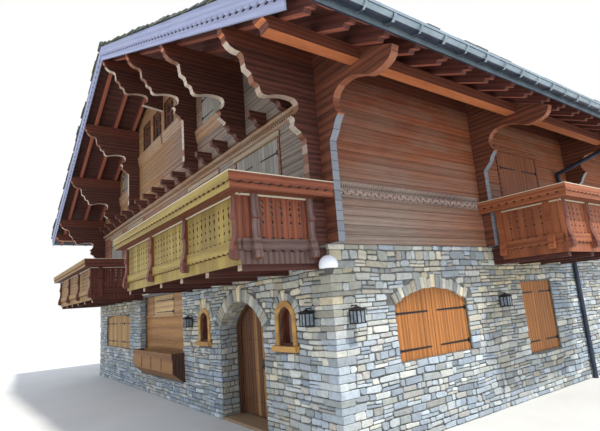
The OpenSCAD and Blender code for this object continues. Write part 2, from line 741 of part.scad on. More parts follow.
// Floor boards on joists between x0 and x1, stopping beside the corner when it passes it
module balcony_floor(x0, x1, corner) {
    y0 = -hd - balcony_out + rail_t;
    y1 = -hd - balcony_out + panel_end;
    a = x0 + rail_t;
    b = x1 - rail_t;
    n = ceil((b - a) / 1300);
    block(a, b, y0, y1, floor_z - balcony_t, floor_z);
    block(max(a, corner[0]), min(b, corner[1]), y1, -hd, floor_z - balcony_t, floor_z);
    for (i = [0 : n]) {
        x = a + joist_w / 2 + i * (b - a - joist_w) / n;
        inside = x > corner[0] + joist_w / 2 && x < corner[1] - joist_w / 2;
        block(x - joist_w / 2, x + joist_w / 2, y0, inside ? -hd : y1, joist_z, floor_z - balcony_t);
    }
}

// Lens-shaped piercing between two boards
module lens(x, z, w, h) {
    edge = [for (i = [-2 : 2]) [x + w / 2 * cos(45 * i), z + h / 4 * i]];
    polygon(concat(edge, [for (i = [1 : -1 : -1]) [x - w / 2 * cos(45 * i), z + h / 4 * i]]));
}

// Carved post standing out before the boards, seen from the side
module post_shape() {
    p = panel_in;
    a = [p - 45, beam_z - 70];
    b = [p - 80, beam_z - 330];
    c = [p - 55, beam_z - 350];
    d = [p - 75, beam_z - 640];
    e = [p - 112, beam_z - 845];
    polygon(concat([[p, beam_z], [p - 45, beam_z], a], bend(a, [p - 38, beam_z - 220], b), [c],
        bend(c, [p - 25, beam_z - 520], d), bend(d, [p - 108, beam_z - 720], e),
        bend(e, [p - 100, beam_z - 900], [p, beam_z - 890])));
}

// Rail along X, outer face on y = 0. Each of its parts has its own start and end: the lobed upper board, the
// beam, the boards that close it above and below towards the pierced boards, and these with their plank
module rail_run(upper, beam, lids, boards, plank, posts, first, rows) {
    across(0, face) polygon(concat([[upper[1], rail_z], [upper[0], rail_z]],
        lobes(upper[0], upper[1], rail_z - cap_h, 22, board_w)));
    block(beam[0], beam[1], face, fascia_t, beam_z, rail_z);
    for (z = [beam_z, rail_z - member_h]) block(lids[0], lids[1], fascia_t, rail_t, z, z + member_h);
    across(panel_in, rail_t) difference() {
        polygon([[boards[0], low_z], [boards[1], low_z], [boards[1], beam_z], [boards[0], beam_z]]);
        for (x = [first : board_w : boards[1] - 60])
            if (min([for (p = posts) abs(p - x)]) > post_w / 2 + 30)
                for (r = rows) lens(x, pierce_z + r[0], 46, r[1]);
    }
    across(panel_in - 20, panel_in) polygon([[plank[0], beam_z - 30], [plank[1], beam_z - 30],
        [plank[1], beam_z], [plank[0], beam_z]]);
    across(panel_in - 30, panel_in) polygon(concat([[plank[1], pierce_z - 20], [plank[0], pierce_z - 20]],
        lobes(plank[0], plank[1], plank_z, 25, board_w)));
    for (p = posts) along(p - post_w / 2, p + post_w / 2) post_shape();
}

long_rows = [[115, 60], [225, 60], [345, 90], [440, 60]];
end_rows = [[210, 60], [330, 70], [415, 60], [495, 80]];

module balcony_rail(x0, x1, wall) {
    y = -hd - balcony_out;
    len = x1 - x0;
    side = balcony_out - rail_t - tiny;
    stop = panel_end - rail_t;
    reach = len - 2 * panel_in;
    posts = [for (i = [0 : mid_posts + 1])
        panel_in + post_w / 2 + i * (reach - post_w) / (mid_posts + 1)];
    translate([x0, y, 0]) rail_run([0, len], [face, len - face], [fascia_t, len - fascia_t],
        [panel_in, len - panel_in], [panel_in - 30, len - panel_in + 30], posts, panel_in + board_w,
        long_rows);
    for (s = [0, 1]) translate([s ? x0 : x1, y + rail_t + tiny, 0]) mirror([s, 0, 0]) rotate([0, 0, 90])
        let (end = side + (wall[s] ? gable_in : 0))
            rail_run([face - rail_t, end], [fascia_t - rail_t, end], [0, stop], [0, stop], [0, stop],
                [post_1 - rail_t, post_2 - rail_t], post_1 + 140 - rail_t, end_rows);
}

near_x1 = hw + corner_out;
near_x0 = near_x1 - near_balcony_w;
far_x0 = -near_x1;
far_x1 = far_x0 + far_balcony_w;

module near_balcony_rail() color("DarkKhaki") balcony_rail(near_x0, near_x1, [false, true]);
module far_balcony_rail() color("DarkKhaki") balcony_rail(far_x0, far_x1, [true, false]);

module side_place() translate([hw - hd, 0, 0]) rotate([0, 0, 90]) children();
module balcony_floors() color("SaddleBrown") {
    balcony_floor(near_x0, near_x1, [-hw, hw]);
    balcony_floor(far_x0, far_x1, [-hw, hw]);
    side_place() balcony_floor(side_x0, side_x1, [-hd, hd]);
}
module side_balcony_rail() color("Peru") side_place() balcony_rail(side_x0, side_x1, [false, false]);

// Entrance: frame in the doorway, two leaves that open inwards behind it
leaf_y = -hd + stone_t - leaf_t;          // leaves' outer face
hinge_x = door_w / 2 - leaf_gap / 2;      // hinge lines' distance from the doorway's middle
hinge_y = -hd + stone_t + 18;             // hinge line, inside the hall
knuckle_r = 12;
strap_t = 10;
strap_l = 600;
knuckle_zs = [step_z + 240, door_spring - 250];

module door_frame() color("SaddleBrown") {
    y1 = leaf_y - leaf_gap;
    difference() {
        arch_y(niche_x, door_w, step_z, door_spring, door_rise, y1 - 70, y1);
        arch_y(niche_x, door_w - 2 * frame_w, step_z - 1, door_spring, door_rise - frame_w, y1 - 71, y1 + 1);
    }
}

module door_outline(x0, x1) intersection() {
    arch_y(niche_x, door_w - 2 * leaf_gap, step_z + leaf_gap, door_spring, door_rise - leaf_gap, leaf_y,
        leaf_y + leaf_t);
    block(x0, x1, leaf_y - 1, leaf_y + leaf_t + 1, 0, stone_h);
}

// One leaf with its strap hinges, drawn on the side given by s
module door_leaf(s) {
    a = s < 0 ? -door_w / 2 : leaf_gap / 2;
    b = s < 0 ? -leaf_gap / 2 : door_w / 2;
    door_outline(niche_x + a, niche_x + b);
    translate([niche_x, 0, 0]) mirror([s < 0 ? 1 : 0, 0, 0]) for (z = knuckle_zs) {
        translate([hinge_x, hinge_y, z]) cylinder(r = knuckle_r, h = knuckle_h);
        block(hinge_x - strap_l, hinge_x, -hd + stone_t, -hd + stone_t + strap_t, z + 20, z + knuckle_h - 20);
    }
}
module door_leaf_left() color("SaddleBrown") door_leaf(-1);
module door_leaf_right() color("SaddleBrown") door_leaf(1);

// Lower knuckles with their plates on the wall's inner face, one under each of the leaves' knuckles
module door_hinges() color("DimGray") for (s = [-1, 1]) for (z = knuckle_zs)
    translate([niche_x, 0, 0]) mirror([s < 0 ? 1 : 0, 0, 0]) {
        translate([hinge_x, hinge_y, z - knuckle_h + 20 - tiny]) cylinder(r = knuckle_r, h = knuckle_h - 20);
        block(hinge_x, hinge_x + 110, -hd + stone_t, -hd + stone_t + strap_t, z - knuckle_h + 25, z - 10);
    }

// Frame with a cross bar, its middle at x = 0 and its outer face on y = 0
module sash(w, z0, h) difference() {
    block(-w / 2, w / 2, 0, sash_t, z0, z0 + h);
    for (s = [-1, 1]) for (r = [0, 1])
        block(s < 0 ? -w / 2 + sash_w : sash_w / 4, s < 0 ? -sash_w / 4 : w / 2 - sash_w, -1, sash_t + 1,
            z0 + (r ? 0.55 * h + sash_w / 4 : sash_w), z0 + (r ? h - sash_w : 0.55 * h - sash_w / 4));
}

// The same frames, or the panes behind them, put in every plain window and attic window
module each_plain(pane) {
    for (f = [[plain_z, 0], [plain_up_z, gable_in]]) for (k = [1, 3, 5])
        translate([line_x(k), hd - f[1] - sash_in, 0]) rotate([0, 0, 180])
            filling(plain_w, f[0], plain_h, pane);
    for (z = [plain_z, plain_up_z]) for (j = [0 : side_bays - 1])
        translate([-hw + sash_in, line_y(j) + side_bay / 2, 0]) rotate([0, 0, -90])
            filling(plain_w, z, plain_h, pane);
    for (x = lights) both_ends() translate([x, wall_y + sash_in, 0]) filling(light_w, light_z, light_h, pane);
}
module filling(w, z0, h, pane)
    if (pane) block(-w / 2, w / 2, sash_t, sash_t + glass_t, z0, z0 + h);
    else sash(w, z0, h);

// Surround, sill and inner frame of a small arched window
module slit_frame(x) {
    w = slit_w + 2 * surround;
    difference() {
        arch_y(x, w, slit_z, slit_spring, slit_rise + surround, -hd - surround_t, -hd);
        arch_y(x, slit_w, slit_z - 1, slit_spring, slit_rise, -hd - surround_t - 1, -hd + 1);
    }
    block(x - w / 2 - 50, x + w / 2 + 50, -hd - 110, -hd, slit_z - 90, slit_z);
    difference() {
        arch_y(x, slit_w, slit_z, slit_spring, slit_rise, -hd + slit_in, -hd + slit_in + sash_t);
        arch_y(x, slit_w - 70, slit_z + 35, slit_spring, slit_rise - 35, -hd + slit_in - 1,
            -hd + slit_in + sash_t + 1);
    }
}

module upper_door_frame(w) {
    block(-w / 2 - jamb_w - 30, w / 2 + jamb_w + 30, -50, 0, upper_top, upper_top + header_h);
    for (s = [-1, 1])
        block(s < 0 ? -w / 2 - jamb_w : w / 2, s < 0 ? -w / 2 : w / 2 + jamb_w, -30, 0, stone_h, upper_top);
}

module window_frames() color("Goldenrod") {
    each_plain(false);
    for (x = slit_xs) slit_frame(x);
    for (x = upper_doors) translate([x, wall_y, 0]) upper_door_frame(upper_w);
    translate([hw, side_upper, 0]) rotate([0, 0, 90]) upper_door_frame(upper_w);
}

module window_glass() color("LightBlue") {
    each_plain(true);
    for (x = slit_xs) arch_y(x, slit_w, slit_z, slit_spring, slit_rise, -hd + slit_in + sash_t,
        -hd + slit_in + sash_t + glass_t);
}

// Closed shutter leaves, n across a width, middle at x = 0 and outer face on y = 0
module leaves(w, n, z0, z1) for (i = [0 : n - 1])
    block(-w / 2 + i * w / n + shutter_gap / 2, -w / 2 + (i + 1) * w / n - shutter_gap / 2, 0, shutter_t,
        z0, z1);

module arched_leaves(w, n, spring, rise) intersection() {
    arch_y(0, w - tiny, wide_z + tiny, spring, rise - tiny, 0, shutter_t);
    leaves(w, n, wide_z, spring + rise);
}

module ground_shutters() color("Orange") {
    translate([front_win, -hd + shutter_in, 0]) arched_leaves(front_win_w, 4, front_spring, front_rise);
    translate([hw - shutter_in, side_win, 0]) rotate([0, 0, 90])
        arched_leaves(side_win_w, 2, wide_spring, wide_rise);
    translate([hw - shutter_in, (side_square_0 + side_square_1) / 2, 0]) rotate([0, 0, 90])
        leaves(side_square_w, 2, side_square_z + tiny, side_square_top - tiny);
}

module upper_shutters() color("Tan") {
    for (x = upper_doors) translate([x, wall_y - 15, 0]) leaves(upper_w, 2, stone_h + tiny, upper_top - tiny);
    translate([hw + 15, side_upper, 0]) rotate([0, 0, 90])
        leaves(upper_w, 2, stone_h + tiny, upper_top - tiny);
    for (x = hatches) both_ends() translate([x, wall_y - 15, 0])
        leaves(hatch_w, 2, hatch_z + tiny, hatch_z + hatch_h - tiny);
}

// Wide window bay of the ground floor: boards below a ledge, a fixed board and two small shutters above
module bay_panel() color("BurlyWood") {
    y = -hd + bay_in;
    z = bay_win_z + bay_low;
    w = bay_win_w;
    block(bay_x0, bay_x1, y, y + bay_t, bay_win_z, z);
    block(bay_x0, bay_x1, y - 40, y + bay_t, z, z + 40);
    block(bay_x0, bay_x1, y + shutter_t, y + bay_t + shutter_t, z + 40, bay_win_top);
    for (p = [[0, 0.18], [0.20, 0.66], [0.68, 1]])
        block(bay_x0 + p[0] * w, bay_x0 + p[1] * w, y, y + shutter_t, z + 40 + tiny, bay_win_top - tiny);
}

// Planter under the bay, its foot drawn back to the wall, with strips on its front board
module planter_box() color("Peru") {
    x0 = hw - planter_x - planter_w / 2;
    x1 = x0 + planter_w;
    low = planter_z - planter_h;
    y = -hd - planter_out;
    difference() {
        along(x0, x1) polygon([[-hd, low - 190], [-hd - 60, low - 190], [y + 40, low], [y, low + 30],
            [y, planter_z], [-hd, planter_z]]);
        block(x0 + 40, x1 - 40, y + 45, -hd - 30, low + 60, planter_z + 1);
    }
    for (i = [1 : 3])
        block(x0 + i * planter_w / 4 - 15, x0 + i * planter_w / 4 + 15, y - 12, y + 10, low + 60,
            planter_z - 135);
    block(x0, x1, y - 20, y + 10, planter_z - 140, planter_z);
}

// Lantern on an arm, its wall plate on y = 0 and the arm reaching towards -y
module lantern() {
    y = -lantern_out;
    z = lantern_z;
    r = lantern_r;
    translate([0, y, z]) cylinder(r1 = 0.6 * r, r2 = r, h = lantern_h, $fn = 6);
    translate([0, y, z + lantern_h]) cylinder(r1 = 1.2 * r, r2 = 0.25 * r, h = 0.9 * r, $fn = 6);
    translate([0, y, z + lantern_h + 0.8 * r]) cylinder(r = 0.15 * r, h = 0.6 * r, $fn = 8);
    block(-8, 8, y - 8, 0, z + lantern_h + 1.3 * r, z + lantern_h + 1.3 * r + 16);
    block(-30, 30, -12, 0, z + lantern_h, z + lantern_h + 150);
}
module lanterns() color("DimGray") {
    for (x = [lantern_x1, lantern_x2]) translate([hw - x, -hd, 0]) lantern();
    for (y = [lantern_y1, lantern_y2]) translate([hw, -hd + y, 0]) rotate([0, 0, 90]) lantern();
}

// White lamp at the corner: a hood over a dark bowl, on an arm from the gable
module globe_lamp() color("White") {
    z = stone_h - globe_drop;
    x = hw + globe_off;
    y = -hd - globe_off;
    difference() {
        translate([x, y, z]) sphere(r = globe_r);
        block(x - globe_r, x + globe_r, y - globe_r, y + globe_r, z - globe_r - 1, z - 0.35 * globe_r);
    }
    translate([x, y, z - globe_r]) cylinder(r1 = 0.35 * globe_r, r2 = 0.6 * globe_r, h = 0.65 * globe_r);
    block(hw - 60, x, y - 14, y + 14, z - globe_r + 5, z - globe_r + 33);
    block(hw - 60, hw - 32, y, -hd, z - globe_r + 5, z - globe_r + 33);
}

stone_front_right();
stone_over_door();
stone_front_left();
stone_right_wall();
stone_left_wall();
stone_back_wall();
ground_floor();
first_floor();
attic_floor();
timber_front_wall();
timber_back_wall();
timber_right_wall();
timber_left_wall();
gable_front();
gable_back();
gable_mouldings();
joist_ends();
front_consoles();
back_consoles();
eave_consoles_right();
eave_consoles_left();
purlins();
rafters();
roof_boards();
roof_slates();
ridge_slates();
barge_boards();
gutters();
downpipes();
balcony_floors();
near_balcony_rail();
far_balcony_rail();
side_balcony_rail();
door_frame();
door_hinges();
door_leaf_left();
door_leaf_right();
window_frames();
window_glass();
ground_shutters();
upper_shutters();
bay_panel();
planter_box();
lanterns();
globe_lamp();
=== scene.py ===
import math
import random
from math import cos, pi, sin

import bpy
from mathutils import Matrix, Vector, noise


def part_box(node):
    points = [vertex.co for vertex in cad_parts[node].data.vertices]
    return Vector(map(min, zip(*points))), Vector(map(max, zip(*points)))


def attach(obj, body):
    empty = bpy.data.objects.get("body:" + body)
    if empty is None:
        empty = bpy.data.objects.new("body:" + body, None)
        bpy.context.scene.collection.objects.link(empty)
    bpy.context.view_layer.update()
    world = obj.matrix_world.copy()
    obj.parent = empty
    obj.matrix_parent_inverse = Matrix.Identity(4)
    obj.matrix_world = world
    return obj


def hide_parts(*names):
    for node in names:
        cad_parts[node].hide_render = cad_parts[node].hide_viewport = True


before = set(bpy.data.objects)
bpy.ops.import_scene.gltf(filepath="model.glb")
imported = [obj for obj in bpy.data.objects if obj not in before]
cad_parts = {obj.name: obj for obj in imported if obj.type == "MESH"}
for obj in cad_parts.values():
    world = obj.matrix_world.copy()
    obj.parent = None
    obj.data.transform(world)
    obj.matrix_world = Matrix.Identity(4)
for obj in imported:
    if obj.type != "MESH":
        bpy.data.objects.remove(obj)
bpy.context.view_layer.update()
BOX = {name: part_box(name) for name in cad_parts}

# The house's own lines in metres: read from the CAD nodes, or the part's sizes where a node holds several
HW, HD, STONE_H = BOX["stone_back_wall"][1]
WALL_Y = BOX["timber_front_wall"][0].y
ATTIC_Z = BOX["timber_front_wall"][1].z
LOG = 0.13
BAYS = 6
SIDE_BAYS = 3
BAY = (2 * HW - LOG) / BAYS
SIDE_BAY = (2 * HD - LOG) / SIDE_BAYS
PITCH = math.radians(24.13)
SLOPE, COS, SIN = math.tan(PITCH), cos(PITCH), sin(PITCH)
PLATE_Z = ATTIC_Z + 0.64
RAFTER_H = 0.25
ROOF_TOP = 0.345
EAVE_X = HW + 1.78
COURSE = 0.155

# Openings: doorway, small arched windows, bay, shuttered windows, upper doors, hatches, attic windows
DOOR_X = HW - 2.92
DOOR_W, DOOR_SPRING, DOOR_RISE = 1.77, 1.85, 0.5
SLITS = (HW - 1.275, HW - 4.605)
SLIT_SPRING, SLIT_RISE = 1.965, 0.305
BAY_X = HW - 7.72
BAY_W, BAY_Z, BAY_TOP, LEDGE_Z = 3.58, 0.6, 2.74, 2.13
WIDE_X = HW - 12.3
WIDE_W, WIDE_LEAF = 3.2, 0.8
SIDE_WIN_Y = -HD + 2.225
SIDE_WIN_W = 1.91
SQUARE_Y = -HD + 5.785
SQUARE_W = 1.27
UPPER_X = [s * (HW - d) for s in (-1, 1) for d in (2.12, 4.65)]
UPPER_W = 1.74
UPPER_TOP = ATTIC_Z - 0.34
HATCH_Z = ATTIC_Z + 1.16
HATCH_W, HATCH_H = 1.6, 0.73
LIGHT_Z = ATTIC_Z + 2.04
LIGHTS = (-1.56, -0.525, 0.525, 1.56)
LIGHT_W, LIGHT_H = 0.8, 0.85
PLAIN_W, PLAIN_H = 1.2, 1.3
PLAIN_Z = 0.96
PLAIN_UP = STONE_H + 0.9

# Balconies: how far out they reach, how far in their boards stand, heights over the stone of the boards, the
# ledge, the beam and its cap, and how far the rails pass the corners of the house
BALCONY = 1.74
PANEL_IN = 0.25
RAIL_OUT = BALCONY - PANEL_IN
BOARD_Z = 0.05
BOARD_TOP = 0.63
LEDGE_BAND = (0.637, 0.664)
BEAM_Z = 0.665
CAP_Z = 0.886
CORNER_OUT = 0.25


def line_x(k):
    return HW - LOG / 2 - k * BAY


def line_y(j):
    return -HD + LOG / 2 + j * SIDE_BAY


def roof_z(x):
    return PLATE_Z + (HW - abs(x)) * SLOPE


NEAR_RAIL = (HW + CORNER_OUT - 5.9, HW + CORNER_OUT)
FAR_RAIL = (-HW - CORNER_OUT, -HW - CORNER_OUT + 6.25)
SIDE_RAIL = (line_y(1) - LOG / 2 - 0.13, line_y(2) - LOG / 2 - 0.78)
SIDE_UPPER = (SIDE_RAIL[0] + SIDE_RAIL[1]) / 2 + 0.13
HATCHES = [s * (line_x(1) - BAY / 2) for s in (-1, 1)]


# Materials
def operation(kind):
    return lambda a, b: calc(kind, a, b)


class Value:
    """What a shader works out at each point. Sums and products are Math nodes, and a comparison gives 1
    where it holds and 0 elsewhere."""
    __add__ = operation("ADD")
    __sub__ = operation("SUBTRACT")
    __mul__ = operation("MULTIPLY")
    __truediv__ = operation("DIVIDE")
    __gt__ = operation("GREATER_THAN")
    __lt__ = operation("LESS_THAN")

    def __init__(self, socket):
        self.socket = socket

    def __rsub__(self, number):
        return calc("SUBTRACT", number, self)

    def __abs__(self):
        return calc("ABSOLUTE", self)


class Shader:
    """The material that is being made, its nodes, and the inputs that its colour and relief go to."""
    material = tree = target = None


def node(kind, inputs=None, output=0, **props):
    n = Shader.tree.nodes.new(kind)
    for key, value in props.items():
        setattr(n, key, value)
    for key, value in (inputs or {}).items():
        feed(n.inputs[key], value)
    return Value(n.outputs[output])


def feed(socket, value):
    if isinstance(value, Value):
        Shader.tree.links.new(value.socket, socket)
    else:
        socket.default_value = (*value, 1) if socket.type == "RGBA" else value


def calc(kind, *values):
    return node("ShaderNodeMath", dict(enumerate(values)), operation=kind)


def ramp(fac, stops, constant=False):
    colour = node("ShaderNodeValToRGB", {"Fac": fac})
    line = colour.socket.node.color_ramp
    line.interpolation = "CONSTANT" if constant else "LINEAR"
    line.elements.remove(line.elements[1])
    for i, (position, rgb) in enumerate(stops):
        stop = line.elements.new(position) if i else line.elements[0]
        stop.position, stop.color = position, (*rgb, 1)
    return colour


def mix(fac, a, b, blend="MIX"):
    return node("ShaderNodeMix", {0: fac, 6: a, 7: b}, 2, data_type="RGBA", blend_type=blend)


def either(a, b):
    return calc("MAXIMUM", a, b)


def between(value, low, high):
    """1 where a value lies between two numbers, 0 elsewhere."""
    return (value > low) * (value < high)


def grow(value, low, high):
    """Goes from 0 to 1 while a value goes from low to high."""
    return node("ShaderNodeMapRange", {"Value": value, "From Min": low, "From Max": high})


def vector(x, y, z):
    return node("ShaderNodeCombineXYZ", {0: x, 1: y, 2: z})


def axis_of(source, axis):
    return node("ShaderNodeSeparateXYZ", {0: source}, axis)


def points(kind="Object"):
    """Where a point lies on the house in metres, or on its own small piece with kind UV."""
    return node("ShaderNodeTexCoord", output=kind)


def stretch(where, scale):
    return node("ShaderNodeMapping", {"Vector": where, "Scale": scale})


def clouds(where, scale, detail, rough=0.5, distortion=0.0):
    """Noise from 0 to 1."""
    return node("ShaderNodeTexNoise", {"Vector": where, "Scale": scale, "Detail": detail, "Roughness": rough,
                                       "Distortion": distortion})


def spot(axis):
    """Where on the house a point lies along an axis, in metres."""
    return axis_of(points(), axis)


def facing(axis):
    """How much a face looks along an axis, from -1 to 1."""
    return axis_of(node("ShaderNodeNewGeometry", output="True Normal"), axis)


def looks(axis):
    """1 on faces that look along an axis, either way."""
    return abs(facing(axis)) > 0.7


def tint(axis):
    """A random number of each small piece, kept on its mesh."""
    return axis_of(node("ShaderNodeAttribute", output="Vector", attribute_name="tint"), axis)


def shade(colour, tone):
    return mix(1.0, colour, vector(tone, tone, tone), "MULTIPLY")


def zone_stains_and_light(tone, stops, base, zones):
    """A colour from dark to light by tone, and other ones on the zones of the house: (where, dark, light)."""
    low, high = stops
    colour = ramp(tone, [(low, base[0]), (high, base[1])])
    for where, dark, light in (zones() if zones else ()):
        colour = mix(where, colour, ramp(tone, [(low, dark), (high, light)]))
    return colour


def start(name, rough, specular=0.35, metal=0.0):
    Shader.material = bpy.data.materials.new(name)
    Shader.material.use_nodes = True
    Shader.tree = Shader.material.node_tree
    Shader.target = Shader.tree.nodes["Principled BSDF"].inputs
    for key, value in (("Roughness", rough), ("Specular IOR Level", specular), ("Metallic", metal)):
        feed(Shader.target[key], value)


def finish(colour, height, strength, distance):
    relief = node("ShaderNodeBump", {"Height": height, "Strength": strength, "Distance": distance})
    feed(Shader.target["Base Color"], colour)
    feed(Shader.target["Normal"], relief)
    return Shader.material


def along_slope():
    """Points of the house with heights measured from the roof's slope, so that grain follows it."""
    x = spot("X")
    return vector(x, spot("Y"), abs(x) * SLOPE + spot("Z"))


LONG_GRAIN = 0.9
FINE_GRAIN = 16
GRAIN = {"X": (LONG_GRAIN, FINE_GRAIN, FINE_GRAIN), "Y": (FINE_GRAIN, LONG_GRAIN, FINE_GRAIN),
         "Z": (FINE_GRAIN, FINE_GRAIN, LONG_GRAIN), "uv": (LONG_GRAIN, FINE_GRAIN, 1),
         "slope": (LONG_GRAIN, FINE_GRAIN, FINE_GRAIN)}
WOOD_STOPS = (0.3, 0.74)
WOOD_BUMP = (0.35, 0.006)
JOINT = 0.004


def timber_noise(stretched):
    """Fine grain, and the same with rings of growth."""
    fine = clouds(stretched, 3.2, 9.0, 0.62, 0.6)
    rings = node("ShaderNodeTexWave", {"Vector": stretched, "Scale": 0.22, "Distortion": 9.0, "Detail": 3.0,
                                       "Detail Scale": 0.6}, "Fac", wave_type="RINGS")
    return fine, fine * 0.75 + rings * 0.25


def joints(place, pitch):
    """1 on the dark joints between boards laid side by side at a pitch, and a random number of each board."""
    board = place / pitch
    number = node("ShaderNodeTexWhiteNoise", {"W": calc("FLOOR", board)}, noise_dimensions="1D")
    return abs(calc("FRACT", board) - 0.5) > 0.5 - JOINT / pitch, number


def across_boards(lines):
    """Where a point lies across boards, and where their joints show."""
    if lines != "run":
        return spot(lines), 1 - looks(lines)
    across = looks("Y")
    return spot("X") * across + spot("Y") * (1 - across), abs(facing("Z")) < 0.7


def wood(name, dark, light, grain="uv", grey=None, grey_amount=0.0, lines=None, pitch=COURSE, first=0.0,
         edge=None, edge_axis="X", vary=0.0, zones=None):
    """Timber with grain along one axis. lines is the axis across boards whose joints are dark, or "run" for
    upright boards on walls that run either way. edge gives the colour of faces that don't look along
    edge_axis, zones other colours on parts of the house: stains, and painted light and shade."""
    start(name, 0.62)
    where = along_slope() if grain == "slope" else points("UV" if grain == "uv" else "Object")
    fine, tone = timber_noise(stretch(where, GRAIN[grain]))
    colour = zone_stains_and_light(tone, WOOD_STOPS, (dark, light), zones)
    if grey:
        worn = grow(clouds(where, 0.9, 4.0), 0.4, 0.62)
        colour = mix(worn * grey_amount, colour, grey)
    if vary:
        colour = shade(colour, tint("X") * (2 * vary) + (1 - vary))
    height = fine
    if lines:
        place, on = across_boards(lines)
        gap, number = joints(place - first, pitch)
        gap = gap * on
        if edge:
            carved = shade(edge(number), fine * 0.9 + 0.5)
            colour = mix(looks(edge_axis), carved, colour)
        colour = shade(colour, number * 0.24 + 0.88)
        colour = mix(gap * 0.85, colour, (0.02, 0.012, 0.01))
        height = fine - gap * 1.5
    return finish(colour, height, *WOOD_BUMP)


def rail_wood(name, run, ends, sign, first, front, end, plank):
    """A balcony rail: upright boards with joints, a beam over them and posts before them. run is the axis its
    long side lies along, ends its extent on it, sign the way its outer side looks. first is where joints lie
    on the long and on the short sides; front, end and plank (what stands before the short sides) are
    (dark, light)."""
    start(name, 0.6)
    cross = "Y" if run == "X" else "X"
    a, b, z = (spot(axis) for axis in (run, cross, "Z"))
    far_out = b * sign - ((HD if run == "X" else HW) + RAIL_OUT)
    beside = abs(a - (ends[0] + ends[1]) / 2) - ((ends[1] - ends[0]) / 2 - PANEL_IN)
    beam = z > STONE_H + BEAM_Z
    is_front = looks(cross) * (far_out > -0.12) * either(beam, beside < 0.012)
    flat = either(beam, between(z, STONE_H - 0.12, STONE_H + BOARD_Z))
    rise = FINE_GRAIN - LONG_GRAIN
    scale = [FINE_GRAIN - flat * side * rise for side in (is_front, 1 - is_front)]
    if run == "Y":
        scale.reverse()
    scale = vector(*scale, flat * rise + LONG_GRAIN)
    fine, tone = timber_noise(stretch(points(), scale))
    front, end, post, plank = (ramp(tone, [(0.28, c[0]), (0.74, c[1])]) for c in (front, end, POST, plank))
    is_post = (either(far_out, beside) > 0.034) * (1 - beam)
    colour = mix(is_front, end, front)
    colour = mix((z < STONE_H + BOARD_Z) * (1 - is_front), colour, shade(plank, 0.8))
    colour = mix(is_post, colour, mix(far_out > 0.03, plank, post))
    ledge = between(z, STONE_H + LEDGE_BAND[0], STONE_H + LEDGE_BAND[1])
    pale = either(z > STONE_H + CAP_Z, ledge)
    colour = mix(pale * (1 - is_post), colour, LIP)
    # Upward faces take the pale LIP colour as a painted highlight, downward faces a darker end colour as
    # painted shade
    colour = mix(facing("Z") > 0.7, colour, LIP)
    colour = mix(facing("Z") < -0.7, colour, shade(end, 0.6))
    place = (a - first[0]) * is_front + (b - first[1]) * (1 - is_front)
    gap, number = joints(place, COURSE)
    boards = between(z, STONE_H + BOARD_Z, STONE_H + BOARD_TOP) * (1 - is_post) * (abs(facing("Z")) < 0.7)
    colour = mix(boards, colour, shade(colour, number * 0.34 + 0.8))
    gap = gap * boards
    colour = mix(gap * 0.8, colour, (0.03, 0.016, 0.012))
    return finish(colour, fine - gap * 1.5, *WOOD_BUMP)


def stone_material(name, palette, mottled=0.5):
    """Broken stone: one colour of the palette a stone, warmer or cooler and lighter or darker by its tint."""
    start(name, 0.85, 0.25)
    where = points()
    colour = ramp(tint("X"), [(i / len(palette), p) for i, p in enumerate(palette)], constant=True)
    warm, cool = (mix(1.0, colour, c, "MULTIPLY") for c in ((1.1, 0.98, 0.74), (0.9, 0.99, 1.1)))
    colour = mix(tint("Z"), cool, warm)
    spots = clouds(where, 14.0, 8.0, 0.7)
    seams = clouds(stretch(where, (3, 3, 22)), 2.0, 5.0)
    dappled = ramp(spots, [(0.28, (0.42, 0.42, 0.44)), (0.5, (0.9, 0.9, 0.9)), (0.72, (1.35, 1.33, 1.28))])
    colour = mix(mottled, colour, mix(1.0, colour, dappled, "MULTIPLY"))
    colour = mix(seams * 0.25, colour, (0.28, 0.27, 0.23))
    colour = shade(colour, tint("Y") * 0.46 + 0.74)
    return finish(colour, spots + seams * 0.6, 0.55, 0.012)


def plain_material(name, dark, light, scale, rough, metal=0.0, strength=0.3, zones=None):
    """Paint, metal, glass or mortar with soft spots."""
    start(name, rough, 0.4, metal)
    spots = clouds(points(), scale, 7.0, 0.65)
    return finish(zone_stains_and_light(spots, (0.32, 0.68), (dark, light), zones), spots, strength, 0.004)


# Many small pieces in one mesh
def put(name, data):
    ob = bpy.data.objects.new(name, data)
    bpy.context.scene.collection.objects.link(ob)
    return ob


